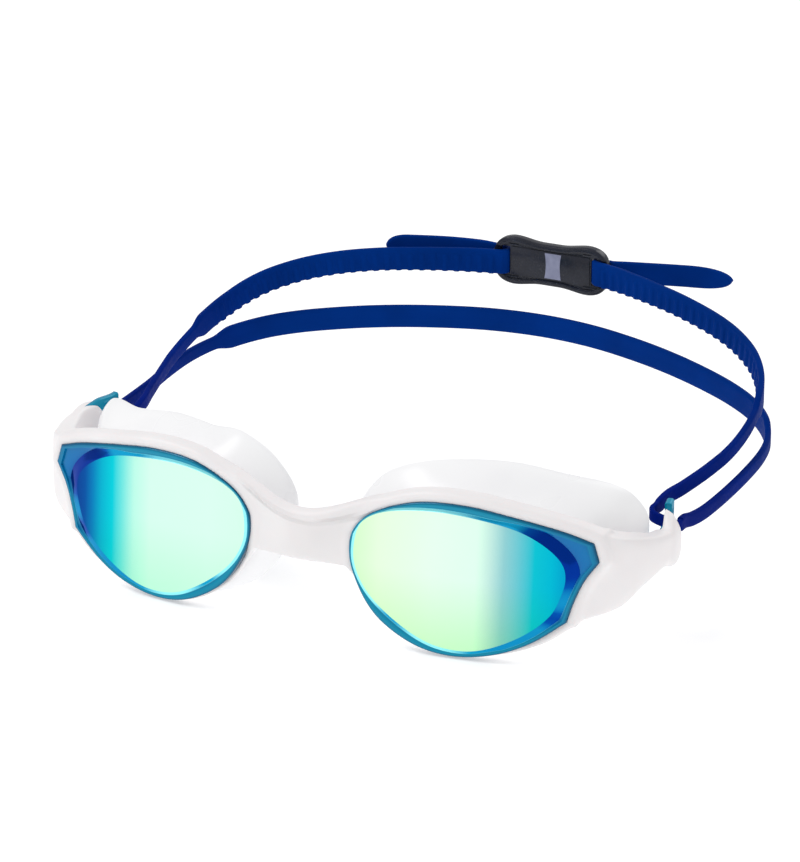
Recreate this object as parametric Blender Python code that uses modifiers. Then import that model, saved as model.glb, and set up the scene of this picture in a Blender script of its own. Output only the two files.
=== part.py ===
"""Adult swim goggles: one soft front frame with arms, two mirrored lenses in tinted carriers,
two seals, and a split silicone strap that is held by a slotted buckle.

Shapes are worked out in millimetres from the middle of the nose bridge: +X to one side, +Y from
the lenses back to the buckle, +Z up. One side is drawn, at positive x, and mirrored. The empty
called goggles_origin then puts the middle of the object's footprint at the world's origin, with
the flats under the rims and seals at height 0.
"""
import math

import bmesh
import bpy
import numpy as np

MM = 0.001                       # one millimetre in metres
TINY = 0.004                      # slivers below this many millimetres are closed up
COLLECTION = "swim_goggles"

# Driving dimensions, all in millimetres or degrees
GAP = 0.3                        # clearance between pieces that touch
EYE_CENTRE = (41.0, 22.0)        # middle of one lens, in x and z
FOOT_Z = 2.75                    # height of the flats that the goggles stand on
FOOTPRINT_Y = 76.36              # middle of the object, measured back from the nose

# Front surface of the lenses: a slow wrap round the face, leaning back a little at the top
WRAP_SQUARE = 0.00328
WRAP_LINEAR = -0.132
WRAP_LEAN = 0.089
WRAP_START = 2.3
LEAN_HEIGHT = 27.0

# Outer edge of the tinted carrier: a long smooth arc with three corners at the temple
RIM_ARC = [(71.0, 34.2), (63.7, 36.7), (52.0, 39.2), (40.8, 40.7), (29.5, 40.0), (19.5, 36.0),
           (14.3, 31.0), (13.1, 25.9), (14.3, 20.0), (18.5, 12.6), (24.1, 7.7), (31.9, 4.2),
           (40.5, 3.3), (49.7, 4.9), (58.0, 8.6), (65.8, 14.4)]
RIM_WING = [(65.8, 14.4), (67.2, 19.5), (69.3, 24.8), (72.4, 29.6)]
ARC_STEPS = 40
WING_STEPS = 6
TIP_STEPS = 2

# Edge of the mirrored face, and of the soft rim that meets the face of the wearer
LENS_EDGE = [(14.5, 26.0), (15.8, 32.0), (20.0, 35.6), (27.0, 37.7), (36.0, 38.5), (46.0, 37.7),
             (54.0, 36.0), (60.0, 33.0), (64.0, 29.3), (65.2, 25.5), (64.4, 21.0), (62.0, 15.8),
             (56.5, 10.8), (49.0, 6.8), (42.0, 5.1), (34.0, 5.9), (26.5, 9.5), (19.3, 15.0),
             (15.5, 20.6)]
SEAL_EDGE = [(9.4, 14.4, 32.0), (15.0, 14.2, 40.0), (23.0, 15.0, 44.2), (33.0, 19.5, 45.3),
             (45.0, 24.0, 45.0), (57.0, 28.0, 42.6), (66.2, 32.5, 40.2), (71.2, 35.4, 36.6),
             (74.1, 37.0, 30.0), (72.3, 35.4, 19.0), (64.0, 31.0, 10.5), (53.0, 26.5, 5.0),
             (41.0, 22.0, 2.6), (30.0, 18.0, 2.6), (20.0, 15.5, 7.5), (12.5, 14.3, 16.0),
             (9.2, 14.2, 24.5)]

LENS_THICKNESS = 1.8
CARRIER_DEPTH = 2.8
RIM_DEPTH = 6.0                  # depth of the white rim round each lens
TEMPLE_DEPTH = 2.2               # and how much deeper it is at the temple
RIM_WIDTH_LOW = 0.9              # how far the white rim stands out under a lens
RIM_WIDTH_HIGH = 2.4             # and how far above it and at the temple
RIM_FACE_LOW = 2.3               # how far behind the lens's surface the white starts under it
RIM_FACE_HIGH = 0.2              # and above it and at the temple
RIM_ROUND = 1.5                  # rounding of the rim's rear edge
SEAL_WALL = 1.3
SEAL_SIDE_WALL = 2.1             # the same measured along the rim's surface
SEAL_SHELL = [(0.35, 1.1), (0.72, 1.3), (0.94, 0.6), (1.0, -0.5)]   # share of depth, bulge
SEAL_LIP_BACK = 0.5
SEAL_LIP = 3.0                   # how far the soft lip turns inwards
SEAL_FOOT_OUT = 0.3              # outer and inner edge of the seal's foot on the rim
SEAL_FOOT_IN = -2.4
TEMPLE_PULL = 0.17               # how far the foot is drawn in towards the eye at the temple
PULL_SPREAD = 3                  # and over how many points of the rim that fades out
FLANGE = -2.8                    # inner edge of the rim behind the carrier

# Nose bridge
BRIDGE_LOW = 20.4
BRIDGE_HIGH = 33.2
BRIDGE_FRONT = -0.6
BRIDGE_BACK = 4.6
BRIDGE_SHARE = [0.0, 0.07, 0.25, 0.45, 0.62, 0.78, 0.93, 1.0]       # of its height, per point
BRIDGE_FRONT_FALL = [1.2, 0.3, 0.0, 0.0, 0.0, 0.1, 1.0, 2.3]        # rounding of its front
BRIDGE_BACK_FALL = [1.0, 0.2, 0.0, 0.0, 0.0, 0.0, 0.3, 1.2]         # and of its back
BRIDGE_STEPS = (-0.1, 0.0, 0.15, 0.32, 0.5, 0.68, 0.85, 1.0)        # nose to rim
ROOT_OVERLAP = 0.9               # how far bridge and arms start outside the carrier's edge
ROOT_FRONT = 0.6
ROOT_BACK = 0.4

# The tinted plate inside each arm, as x, y, lowest z, highest z along its middle
PLATE_THICKNESS = 1.8
PLATE = [(67.4, 10.3, 23.1, 30.7), (71.4, 14.2, 22.8, 31.2), (74.2, 18.9, 22.5, 31.6),
         (76.8, 23.6, 22.3, 31.8), (77.8, 28.8, 22.3, 31.9), (77.6, 34.5, 22.3, 32.2),
         (76.7, 40.0, 22.3, 33.0), (75.7, 46.2, 23.0, 33.8)]
SLOT_Y = (40.3, 44.0)
SLOT_Z = (24.0, 32.5)
SLOT_CUT = 12.0                  # width of the helper that cuts the slot

# Soft arm: outer x, outer y, inner x, inner y, lowest z, highest z
ARM = [(76.3, 15.0, 71.5, 19.5, 16.5, 34.8), (79.2, 21.5, 74.4, 24.5, 19.6, 33.8),
       (80.7, 28.0, 75.9, 29.5, 20.6, 33.3), (81.2, 33.0, 75.9, 33.0, 20.8, 33.2),
       (81.0, 35.5, 75.8, 35.5, 22.4, 31.8), (80.6, 37.0, 75.7, 37.0, 25.0, 29.6)]
ARM_TAIL = [(79.6, 29.5, 78.0, 29.5, 22.5, 31.5), (81.5, 34.5, 77.6, 34.5, 20.0, 33.4),
            (81.4, 38.5, 76.9, 38.5, 19.4, 33.9), (81.0, 40.9, 76.6, 40.9, 20.6, 33.4)]

ARM_HEIGHT_STEPS = 7

# Strap: the middle line of each strand as x, y, z and width
STRAP_THIN = 1.6
STRAP_NECK = 3.4
SWING_AXIS = (45.0, 28.6)        # y and z of the line through both ear slots
UPPER_AXIS = (47.2, 30.0)
LOWER_AXIS = (47.2, 27.3)
LOOP = [(73.4, 45.2, 30.0), (73.2, 43.8, 29.8), (74.0, 42.6, 29.3), (76.2, 42.25, 28.6),
        (78.3, 42.5, 27.9), (79.1, 43.8, 27.5), (79.0, 45.2, 27.4)]
UPPER = [(73.4, 47.2, 30.0, 3.4), (73.9, 52.0, 30.6, 3.4), (75.3, 58.0, 31.0, 3.5),
         (77.3, 70.0, 32.2, 3.5), (78.6, 82.0, 34.0, 3.6), (78.7, 88.0, 35.2, 3.8),
         (78.3, 94.0, 36.6, 5.8), (77.4, 99.5, 38.0, 6.2), (76.0, 105.0, 39.5, 6.3),
         (71.0, 114.3, 42.3, 6.3), (63.8, 121.6, 44.5, 6.3), (55.0, 127.6, 46.1, 6.3),
         (43.5, 133.4, 47.3, 6.3), (32.0, 138.6, 47.7, 6.2), (23.0, 142.8, 47.6, 6.2),
         (16.6, 145.6, 47.3, 6.2)]
UPPER_TURN = [(14.4, 146.0, 47.3, 6.2), (12.9, 146.9, 47.3, 6.2), (12.6, 148.2, 47.3, 6.2),
              (13.3, 149.7, 47.3, 6.2), (15.4, 150.5, 47.3, 6.2)]
LOWER = [(79.0, 47.2, 27.3, 3.4), (79.5, 51.0, 26.5, 3.4), (80.5, 58.0, 26.1, 3.5),
         (81.7, 70.0, 26.3, 3.5), (82.2, 82.0, 26.9, 3.5), (81.8, 93.0, 27.4, 3.5),
         (80.0, 102.0, 27.8, 3.7), (78.4, 105.9, 28.1, 5.0), (76.4, 109.4, 28.5, 6.4),
         (70.5, 116.0, 29.4, 6.6), (63.6, 121.0, 30.2, 6.6), (55.0, 125.8, 30.9, 6.6),
         (43.0, 131.2, 31.7, 6.6), (30.0, 136.2, 32.1, 6.6), (15.0, 140.4, 32.3, 6.6),
         (0.0, 142.0, 32.3, 6.6)]
TAIL_AXIS = (17.0, 150.5)        # x and y of the line that a tail flaps about
TAIL_RIGHT = [(17.0, 150.5, 47.3, 5.8), (22.0, 151.2, 47.6, 5.8), (36.0, 152.4, 48.5, 5.8),
              (43.6, 152.6, 48.9, 5.2), (47.9, 152.5, 49.1, 3.4), (49.5, 152.4, 49.2, 1.4)]
TAIL_LEFT = [(17.0, 150.5, 47.3, 5.8), (22.0, 149.9, 47.7, 5.8), (30.0, 147.2, 48.3, 5.8),
             (38.5, 143.0, 48.8, 5.4), (43.0, 140.4, 49.0, 3.8), (44.6, 139.5, 49.1, 1.6)]

# Buckle
BUCKLE_CENTRE = (0.0, 148.2, 47.4)
BUCKLE_LENGTH = 33.2
BUCKLE_END_HEIGHT = 13.6
BUCKLE_WAIST_HEIGHT = 11.4
BUCKLE_THICKNESS = 3.0
BAR_THICKNESS = 2.2
BUCKLE_SLOT = (11.0, 14.7)
BUCKLE_SLOT_HEIGHT = 7.4
WINDOW = (4.8, 7.6)
WINDOW_DEPTH = 1.0
BUCKLE_EDGE = 0.6                # rounding of its outer edge
BUCKLE_WAIST = (3.0, 11.0)       # where the waist widens into the ends
BUCKLE_SQUARE = (7, 0.45)        # how square the ends are
BUCKLE_END_SHARE = 0.35          # height left at the very end
BUCKLE_EDGE_STEPS = 9
SHARP_ANGLE = 35.0               # edges sharper than this many degrees stay crisp

# Colours, as red, green, blue, then roughness and metallic value
COLOURS = {
    "white_soft": ((0.86, 0.85, 0.85), 0.42, 0.0),
    "seal_silicone": ((0.82, 0.83, 0.83), 0.32, 0.0),
    "teal_tint": ((0.0, 0.27, 0.42), 0.14, 0.0),
    "mirror_face": ((0.45, 0.80, 0.68), 0.06, 0.8),
    "strap_silicone": ((0.005, 0.03, 0.22), 0.38, 0.0),
    "smoke_plastic": ((0.04, 0.04, 0.06), 0.22, 0.0),
}


# ---- curves ----------------------------------------------------------------------------

def spline(points, steps, closed=False):
    """Catmull-Rom curve through the points, with the same number of steps on each span."""
    pts = np.array(points, float)
    if closed:
        pts = np.vstack([pts[-1], pts, pts[:2]])
    else:
        pts = np.vstack([2 * pts[0] - pts[1], pts, 2 * pts[-1] - pts[-2]])
    curve = []
    for a, b, c, d in zip(pts[:-3], pts[1:-2], pts[2:-1], pts[3:]):
        for t in np.arange(steps) / steps:
            curve.append(0.5 * (2 * b + (c - a) * t + (2 * a - 5 * b + 4 * c - d) * t ** 2
                                + (3 * b - a - 3 * c + d) * t ** 3))
    if not closed:
        curve.append(pts[-2])
    return np.array(curve)


def even(curve, count):
    """The same open curve with its points the same distance apart."""
    length = np.r_[0.0, np.cumsum(np.linalg.norm(np.diff(curve[:, :3], axis=0), axis=1))]
    wanted = np.linspace(0.0, length[-1], count)
    return np.column_stack([np.interp(wanted, length, column) for column in curve.T])


def smooth(value, low, high):
    t = np.clip((value - low) / (high - low), 0.0, 1.0)
    return t * t * (3.0 - 2.0 * t)


def front_y(x, z):
    """How far back the front surface lies at one place on a lens."""
    return WRAP_START + WRAP_LINEAR * x + WRAP_SQUARE * x ** 2 + WRAP_LEAN * (z - LEAN_HEIGHT)


def rim_outline():
    """Outer edge of a carrier in x and z, closed, counter-clockwise from the upper corner."""
    arc = even(spline(RIM_ARC, 8), ARC_STEPS + 1)[:-1]
    wing = even(spline(RIM_WING, 8), WING_STEPS + 1)[:-1]
    tip = even(np.array([RIM_WING[-1], RIM_ARC[0]]), TIP_STEPS + 1)[:-1]
    return np.vstack([arc, wing, tip])


def outward(outline):
    """Unit normals that point out of a closed outline."""
    along = np.roll(outline, -1, axis=0) - np.roll(outline, 1, axis=0)
    along /= np.linalg.norm(along, axis=1)[:, None]
    return np.column_stack([along[:, 1], -along[:, 0]])


def at_angles(edge, angles):
    """Points of a closed curve at given directions from the middle of the lens."""
    dense = spline(edge, 12, closed=True)
    x_z = dense[:, [0, -1]] - EYE_CENTRE
    turn = np.arctan2(x_z[:, 1], x_z[:, 0])
    order = np.argsort(turn)
    turn = turn[order]
    wrapped = np.r_[turn - 2 * math.pi, turn, turn + 2 * math.pi]
    return np.column_stack([np.interp(angles, wrapped, np.tile(column[order], 3))
                            for column in dense.T])


RIM = rim_outline()
RIM_OUT = outward(RIM)
RIM_ANGLE = np.arctan2(RIM[:, 1] - EYE_CENTRE[1], RIM[:, 0] - EYE_CENTRE[0])
LENS_RIM = at_angles(LENS_EDGE, RIM_ANGLE)
LENS_OUT = outward(LENS_RIM)
TEMPLE = smooth(RIM_OUT[:, 0], 0.2, 0.9)     # 1 where a rim faces the temple, 0 elsewhere
PULL = TEMPLE_PULL * np.mean([np.roll(TEMPLE, shift) for shift in
                              range(-PULL_SPREAD, PULL_SPREAD + 1)], axis=0)
FOOT = RIM + (EYE_CENTRE - RIM) * PULL[:, None]     # outline that a seal's foot follows
FOOT_OUT = outward(FOOT)


def rim_ring(out, back, outline=RIM, normals=RIM_OUT):
    """A ring round one eye: moved outwards in the lens's plane and back from its surface."""
    out = np.broadcast_to(out, len(outline))
    x_z = outline + normals * out[:, None]
    x, z = x_z[:, 0], np.maximum(x_z[:, 1], FOOT_Z)
    return np.column_stack([x, front_y(x, z) + back, z])


# ---- meshes ----------------------------------------------------------------------------

def material(name):
    mat = bpy.data.materials.get(name)
    if mat is None:
        colour, roughness, metallic = COLOURS[name]
        mat = bpy.data.materials.new(name)
        mat.use_nodes = True
        shader = mat.node_tree.nodes["Principled BSDF"]
        shader.inputs["Base Color"].default_value = (*colour, 1.0)
        shader.inputs["Roughness"].default_value = roughness
        shader.inputs["Metallic"].default_value = metallic
        mat.diffuse_color = (*colour, 1.0)
    return mat


def make_collection(name):
    collection = bpy.data.collections.get(name) or bpy.data.collections.new(name)
    if name not in bpy.context.scene.collection.children:
        bpy.context.scene.collection.children.link(collection)
    return collection


def solid(name, points, faces, finish=None, collection=COLLECTION):
    """A mesh object from points in millimetres, with its faces turned outwards."""
    mesh = bpy.data.meshes.new(name)
    mesh.from_pydata([tuple(p * MM) for p in np.asarray(points, float)], [], faces)
    bm = bmesh.new()
    bm.from_mesh(mesh)
    bmesh.ops.recalc_face_normals(bm, faces=bm.faces)
    bm.to_mesh(mesh)
    bm.free()
    obj = bpy.data.objects.new(name, mesh)
    make_collection(collection).objects.link(obj)
    if finish:
        mesh.materials.append(material(finish))
        mesh.shade_smooth()
        mesh.set_sharp_from_angle(angle=math.radians(SHARP_ANGLE))
    return obj


def hoop(name, rings, finish=None, collection=COLLECTION):
    """Closed rings joined one to the next, and the last to the first."""
    count, size = len(rings), len(rings[0])
    faces = []
    for i in range(count):
        for j in range(size):
            k, m = (i + 1) % count, (j + 1) % size
            faces.append((i * size + j, i * size + m, k * size + m, k * size + j))
    return solid(name, np.vstack(rings), faces, finish, collection)


def loft(name, sections, finish=None, collection=COLLECTION):
    """Closed sections joined one to the next. A strip of faces caps each end, between the
    first half of the section's points and the second half."""
    size = len(sections[0])
    last = (len(sections) - 1) * size
    faces = []
    for start in (0, last):
        for j in range(size // 2 - 1):
            faces.append((start + j, start + j + 1, start + size - 2 - j, start + size - 1 - j))
    for i in range(len(sections) - 1):
        for j in range(size):
            m = (j + 1) % size
            faces.append((i * size + j, i * size + m, (i + 1) * size + m, (i + 1) * size + j))
    return solid(name, np.vstack(sections), faces, finish, collection)


def mirrored(obj, name):
    """The same solid on the other side of the nose."""
    mesh = bpy.data.meshes.new(name)
    points = [(-v.co.x, v.co.y, v.co.z) for v in obj.data.vertices]
    corners = [list(polygon.vertices) for polygon in obj.data.polygons]
    faces = [corner[2::-1] + corner[:2:-1] for corner in corners]
    mesh.from_pydata(points, [], faces[::-1])
    mesh.materials.append(obj.data.materials[0])
    copy = bpy.data.objects.new(name, mesh)
    make_collection(COLLECTION).objects.link(copy)
    smooth_shade(copy)
    return copy


def combine(obj, tool, operation):
    """Boolean with a helper solid, made part of the mesh so that it can be mirrored."""
    tool.hide_render = True
    tool.display_type = "WIRE"
    modifier = obj.modifiers.new(operation.lower(), "BOOLEAN")
    modifier.operation = operation
    modifier.object = tool
    modifier.solver = "EXACT"
    bpy.context.view_layer.update()
    evaluated = obj.evaluated_get(bpy.context.evaluated_depsgraph_get())
    mesh = bpy.data.meshes.new_from_object(evaluated)
    bm = bmesh.new()
    bm.from_mesh(mesh)
    bmesh.ops.triangulate(bm, faces=bm.faces)
    bmesh.ops.remove_doubles(bm, verts=bm.verts, dist=TINY * MM)
    bmesh.ops.dissolve_degenerate(bm, edges=bm.edges, dist=TINY * MM)
    bm.to_mesh(mesh)
    bm.free()
    obj.modifiers.remove(modifier)
    obj.data = mesh
    mesh.name = obj.name


def smooth_shade(obj):
    obj.data.shade_smooth()
    obj.data.set_sharp_from_angle(angle=math.radians(SHARP_ANGLE))


def plate_sections(stations, grow=0.0):
    """Upright rectangular sections along a plan path given as x, y, lowest z, highest z."""
    path = np.array(stations, float)
    along = np.gradient(path[:, :2], axis=0)
    along /= np.linalg.norm(along, axis=1)[:, None]
    side = np.column_stack([along[:, 1], -along[:, 0]]) * (PLATE_THICKNESS / 2 + grow)
    sections = []
    for (x, y, low, high), (dx, dy) in zip(path, side):
        low, high = low - grow, high + grow
        sections.append([(x - dx, y - dy, low), (x + dx, y + dy, low),
                         (x + dx, y + dy, high), (x - dx, y - dy, high)])
    return sections


def arm_section(outer_x, outer_y, inner_x, inner_y, low, high, steps=ARM_HEIGHT_STEPS):
    """Upright section of a soft arm with a rounded top and bottom."""
    heights = np.linspace(0.0, 1.0, steps)
    fall = 0.9 * np.abs(2 * heights - 1) ** 5
    outer = np.column_stack([np.full(steps, outer_x) - fall, np.full(steps, outer_y),
                             low + (high - low) * heights])
    inner = np.column_stack([np.full(steps, inner_x) + 0.4 * fall, np.full(steps, inner_y),
                             low + (high - low) * heights])
    return np.vstack([outer, inner[::-1]])


def strap_sections(route, thickness=STRAP_THIN):
    """Sections of a flat strap that stands on edge, from its middle line and widths."""
    path, width = route[:, :3], route[:, 3]
    along = np.gradient(path, axis=0)
    along /= np.linalg.norm(along, axis=1)[:, None]
    up = np.array([0.0, 0.0, 1.0]) - along * along[:, 2:3]
    up /= np.linalg.norm(up, axis=1)[:, None]
    across = np.cross(along, up)
    half, bevel = thickness / 2, thickness / 4
    sections = []
    for p, u, a, w in zip(path, up, across, width):
        tall = w / 2
        corners = [(half, -tall + bevel), (half, tall - bevel), (half - bevel, tall),
                   (bevel - half, tall), (-half, tall - bevel), (-half, -tall + bevel),
                   (bevel - half, -tall), (half - bevel, -tall)]
        sections.append([p + a * s + u * t for s, t in corners])
    return sections


def round_end(route, radius, outward_step):
    """Stations that round off the first end of a strap, seen from the side."""
    start, neck = route[0], []
    for degrees in (70.0, 48.0, 24.0):
        angle = math.radians(degrees)
        station = start.copy()
        station[:3] += np.array(outward_step) * radius * math.sin(angle)
        station[3] = start[3] * math.cos(angle)
        neck.append(station)
    return np.vstack([neck, route])


# ---- sub-parts -------------------------------------------------------------------------

def make_lens():
    """Mirrored face: a curved shell that lies inside the carrier."""
    edge = at_angles(LENS_EDGE, RIM_ANGLE)
    shells = []
    for back in (0.0, LENS_THICKNESS):
        for scale in (1.0, 0.75, 0.5, 0.25):
            x_z = (edge - EYE_CENTRE) * scale + EYE_CENTRE
            y = front_y(x_z[:, 0], x_z[:, 1]) + back
            shells.append(np.column_stack([x_z[:, 0], y, x_z[:, 1]]))
    front, rear = shells[:4], shells[4:]
    size = len(edge)
    points = np.vstack(front + rear[::-1])
    poles = [(EYE_CENTRE[0], front_y(*EYE_CENTRE) + back, EYE_CENTRE[1])
             for back in (0.0, LENS_THICKNESS)]
    order = [3, 2, 1, 0, 7, 6, 5, 4]
    faces = []
    for a, b in zip(order, order[1:]):
        for j in range(size):
            m = (j + 1) % size
            faces.append((a * size + j, a * size + m, b * size + m, b * size + j))
    pole = len(points)
    for j in range(size):
        m = (j + 1) % size
        faces.append((pole, 3 * size + m, 3 * size + j))
        faces.append((pole + 1, 4 * size + j, 4 * size + m))
    return solid("lens_right", np.vstack([points, poles]), faces, "mirror_face")


def make_carrier():
    """Tinted rim with the plate that runs back inside the arm to the strap slot."""
    rings = [rim_ring(GAP, 0.1, LENS_RIM, LENS_OUT), rim_ring(-0.5, 0.0), rim_ring(0.0, 0.5),
             rim_ring(0.0, CARRIER_DEPTH), rim_ring(GAP, CARRIER_DEPTH, LENS_RIM, LENS_OUT)]
    carrier = hoop("lens_carrier_right", rings, "teal_tint")
    plate = loft("carrier_plate", plate_sections(PLATE), collection="helpers")
    combine(carrier, plate, "UNION")
    middle = (PLATE[-1][0], sum(SLOT_Y) / 2, sum(SLOT_Z) / 2)
    slot = block("ear_slot", middle, (SLOT_CUT, SLOT_Y[1] - SLOT_Y[0], SLOT_Z[1] - SLOT_Z[0]))
    combine(carrier, slot, "DIFFERENCE")
    smooth_shade(carrier)
    return carrier


def block(name, centre, size):
    """A box-shaped helper."""
    bpy.ops.mesh.primitive_cube_add(size=1.0)
    obj = bpy.context.object
    obj.name = name
    for owner in list(obj.users_collection):
        owner.objects.unlink(obj)
    make_collection("helpers").objects.link(obj)
    for vertex in obj.data.vertices:
        for axis in range(3):
            vertex.co[axis] = (vertex.co[axis] * size[axis] + centre[axis]) * MM
    return obj


def white_width():
    """How far the white rim stands out all round a lens."""
    share = np.maximum(smooth(RIM_OUT[:, 1], -0.5, 0.5), smooth(RIM_OUT[:, 0], 0.2, 0.9))
    return share, RIM_WIDTH_LOW + (RIM_WIDTH_HIGH - RIM_WIDTH_LOW) * share


def bridge_sections():
    """Upright sections from just past the middle of the nose to the rim beside it."""
    nasal = [i for i in range(len(RIM)) if RIM_OUT[i, 0] < -0.3 and RIM[i, 1] > BRIDGE_LOW]
    arc = (RIM[nasal] + ROOT_OVERLAP * RIM_OUT[nasal])[::-1]
    arc = even(arc, len(BRIDGE_SHARE))
    front_fall, back_fall = np.array(BRIDGE_FRONT_FALL), np.array(BRIDGE_BACK_FALL)
    middle_z = BRIDGE_LOW + (BRIDGE_HIGH - BRIDGE_LOW) * np.array(BRIDGE_SHARE)
    sections = []
    for step in BRIDGE_STEPS:
        reach = smooth(step, 0.0, 1.0)
        x = arc[:, 0] * step
        z = middle_z + (arc[:, 1] - middle_z) * reach
        rim_y = front_y(arc[:, 0], arc[:, 1])
        front = BRIDGE_FRONT + (rim_y + ROOT_FRONT - BRIDGE_FRONT) * reach
        front += front_fall * (1 - reach)
        back = BRIDGE_BACK + (rim_y + RIM_DEPTH - ROOT_BACK - BRIDGE_BACK) * reach
        back -= back_fall * (1 - reach)
        sections.append(np.vstack([np.column_stack([x, front, z]),
                                   np.column_stack([x, back, z])[::-1]]))
    return sections


def arm_root_section():
    """First section of an arm: the temple side of the rim."""
    temple = [i for i in range(len(RIM)) if RIM[i, 0] > 65.5 and RIM_OUT[i, 0] > 0.3]
    arc = (RIM[temple] + ROOT_OVERLAP * RIM_OUT[temple])[np.argsort(RIM[temple, 1])]
    arc = even(arc, ARM_HEIGHT_STEPS)
    y = front_y(arc[:, 0], arc[:, 1])
    outer = np.column_stack([arc[:, 0], y + 0.7, arc[:, 1]])
    inner = np.column_stack([arc[:, 0], y + RIM_DEPTH + TEMPLE_DEPTH - 0.5, arc[:, 1]])
    return np.vstack([outer, inner[::-1]])


def make_frame():
    """One soft moulding: two rims, the nose bridge and the two arms."""
    share, width = white_width()
    depth = RIM_DEPTH + TEMPLE_DEPTH * TEMPLE
    face = RIM_FACE_LOW + (RIM_FACE_HIGH - RIM_FACE_LOW) * share
    rings = [rim_ring(GAP, face), rim_ring(width * 0.7, face + 0.1 * (1.0 + share)),
             rim_ring(width, face + ROOT_FRONT + ROOT_BACK * share),
             rim_ring(width, depth - RIM_ROUND),
             rim_ring(width * 0.5, depth), rim_ring(FLANGE, depth, FOOT, FOOT_OUT),
             rim_ring(FLANGE, CARRIER_DEPTH + GAP), rim_ring(GAP, CARRIER_DEPTH + GAP)]
    frame = hoop("frame", rings, "white_soft")
    combine(frame, loft("bridge_half", bridge_sections(), collection="helpers"), "UNION")
    arm = [arm_root_section()] + [arm_section(*station) for station in ARM]
    combine(frame, loft("arm_front", arm, collection="helpers"), "UNION")
    tail = [arm_section(*station) for station in ARM_TAIL]
    combine(frame, loft("arm_rear", tail, collection="helpers"), "UNION")
    pocket = loft("plate_pocket", plate_sections(PLATE, GAP), collection="helpers")
    combine(frame, pocket, "DIFFERENCE")
    smooth_shade(frame)
    mirror = frame.modifiers.new("other_side", "MIRROR")
    mirror.use_axis = (True, False, False)
    mirror.use_bisect_axis = (True, False, False)
    mirror.merge_threshold = 0.00001
    return frame


def make_seal():
    """Soft cup between the rim and the wearer's face, with a lip that turns inwards."""
    face = at_angles(SEAL_EDGE, RIM_ANGLE)
    face[:, 2] = np.maximum(face[:, 2], FOOT_Z)
    depth = RIM_DEPTH + TEMPLE_DEPTH * TEMPLE + GAP
    start_out = rim_ring(SEAL_FOOT_OUT, depth, FOOT, FOOT_OUT)
    start_in = rim_ring(SEAL_FOOT_IN, depth, FOOT, FOOT_OUT)
    inward = start_in - start_out
    inward /= np.linalg.norm(inward, axis=1)[:, None]

    def between(share, bulge):
        side_bulge = bulge * (1.0 - TEMPLE)
        ring = start_out + (face - start_out) * share - inward * side_bulge[:, None]
        ring[:, 2] = np.maximum(ring[:, 2], FOOT_Z)
        return ring

    shell = [start_out] + [between(*station) for station in SEAL_SHELL]
    lip = shell[-1] + inward * SEAL_LIP + np.array([0.0, SEAL_LIP_BACK, 0.0])
    fold = lip + np.array([0.0, -SEAL_WALL, 0.0])
    inner = [fold] + [between(*station) + inward * SEAL_SIDE_WALL
                      for station in SEAL_SHELL[1::-1]] + [start_in]
    return hoop("seal_right", shell + [lip] + inner, "seal_silicone")


def make_ear_loop():
    """The short bend of strap that passes through the slot and round its rear bar."""
    curve = spline(LOOP, 4)
    route = np.column_stack([curve, np.full(len(curve), STRAP_NECK)])
    return loft("strap_ear_loop_right", strap_sections(route, 1.5), "strap_silicone")


def make_upper():
    """Upper strand from the ear to its turn round the buckle's outer bar."""
    band = even(spline(UPPER, 6), 30)
    turn = spline([UPPER[-1]] + UPPER_TURN, 3)[1:]
    route = round_end(np.vstack([band, turn]), STRAP_NECK / 2, (0.0, -1.0, 0.0))
    return loft("strap_upper_right", strap_sections(route), "strap_silicone")


def make_lower():
    """Lower strand, one piece from ear to ear."""
    other_side = np.array([-1.0, 1.0, 1.0, 1.0])
    whole = spline(np.vstack([LOWER, np.array(LOWER[-2::-1]) * other_side]), 6)
    half = round_end(even(whole, 51)[:26], STRAP_NECK / 2, (0.0, -1.0, 0.0))
    route = np.vstack([half, half[-2::-1] * other_side])
    return loft("strap_lower", strap_sections(route), "strap_silicone")


def make_tail(name, points):
    route = even(spline(points, 6), 16)
    sections = strap_sections(route)
    return loft(name, sections, "strap_silicone")


def buckle_outline(grow):
    """Half-height of the buckle along its length: full at the ends, narrower at the waist."""
    reach = BUCKLE_LENGTH / 2 + grow
    top = []
    for turn in np.linspace(0.0, math.pi, 2 * BUCKLE_EDGE_STEPS + 1):
        x = reach * math.cos(turn)
        body = BUCKLE_WAIST_HEIGHT + (BUCKLE_END_HEIGHT - BUCKLE_WAIST_HEIGHT) * smooth(
            abs(x), *BUCKLE_WAIST)
        power, root = BUCKLE_SQUARE
        corner = (1.0 - abs(x / reach) ** power) ** root
        top.append((x, (body / 2 + grow) * max(corner, BUCKLE_END_SHARE)))
    return top + [(x, -z) for x, z in top[::-1]]


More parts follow.
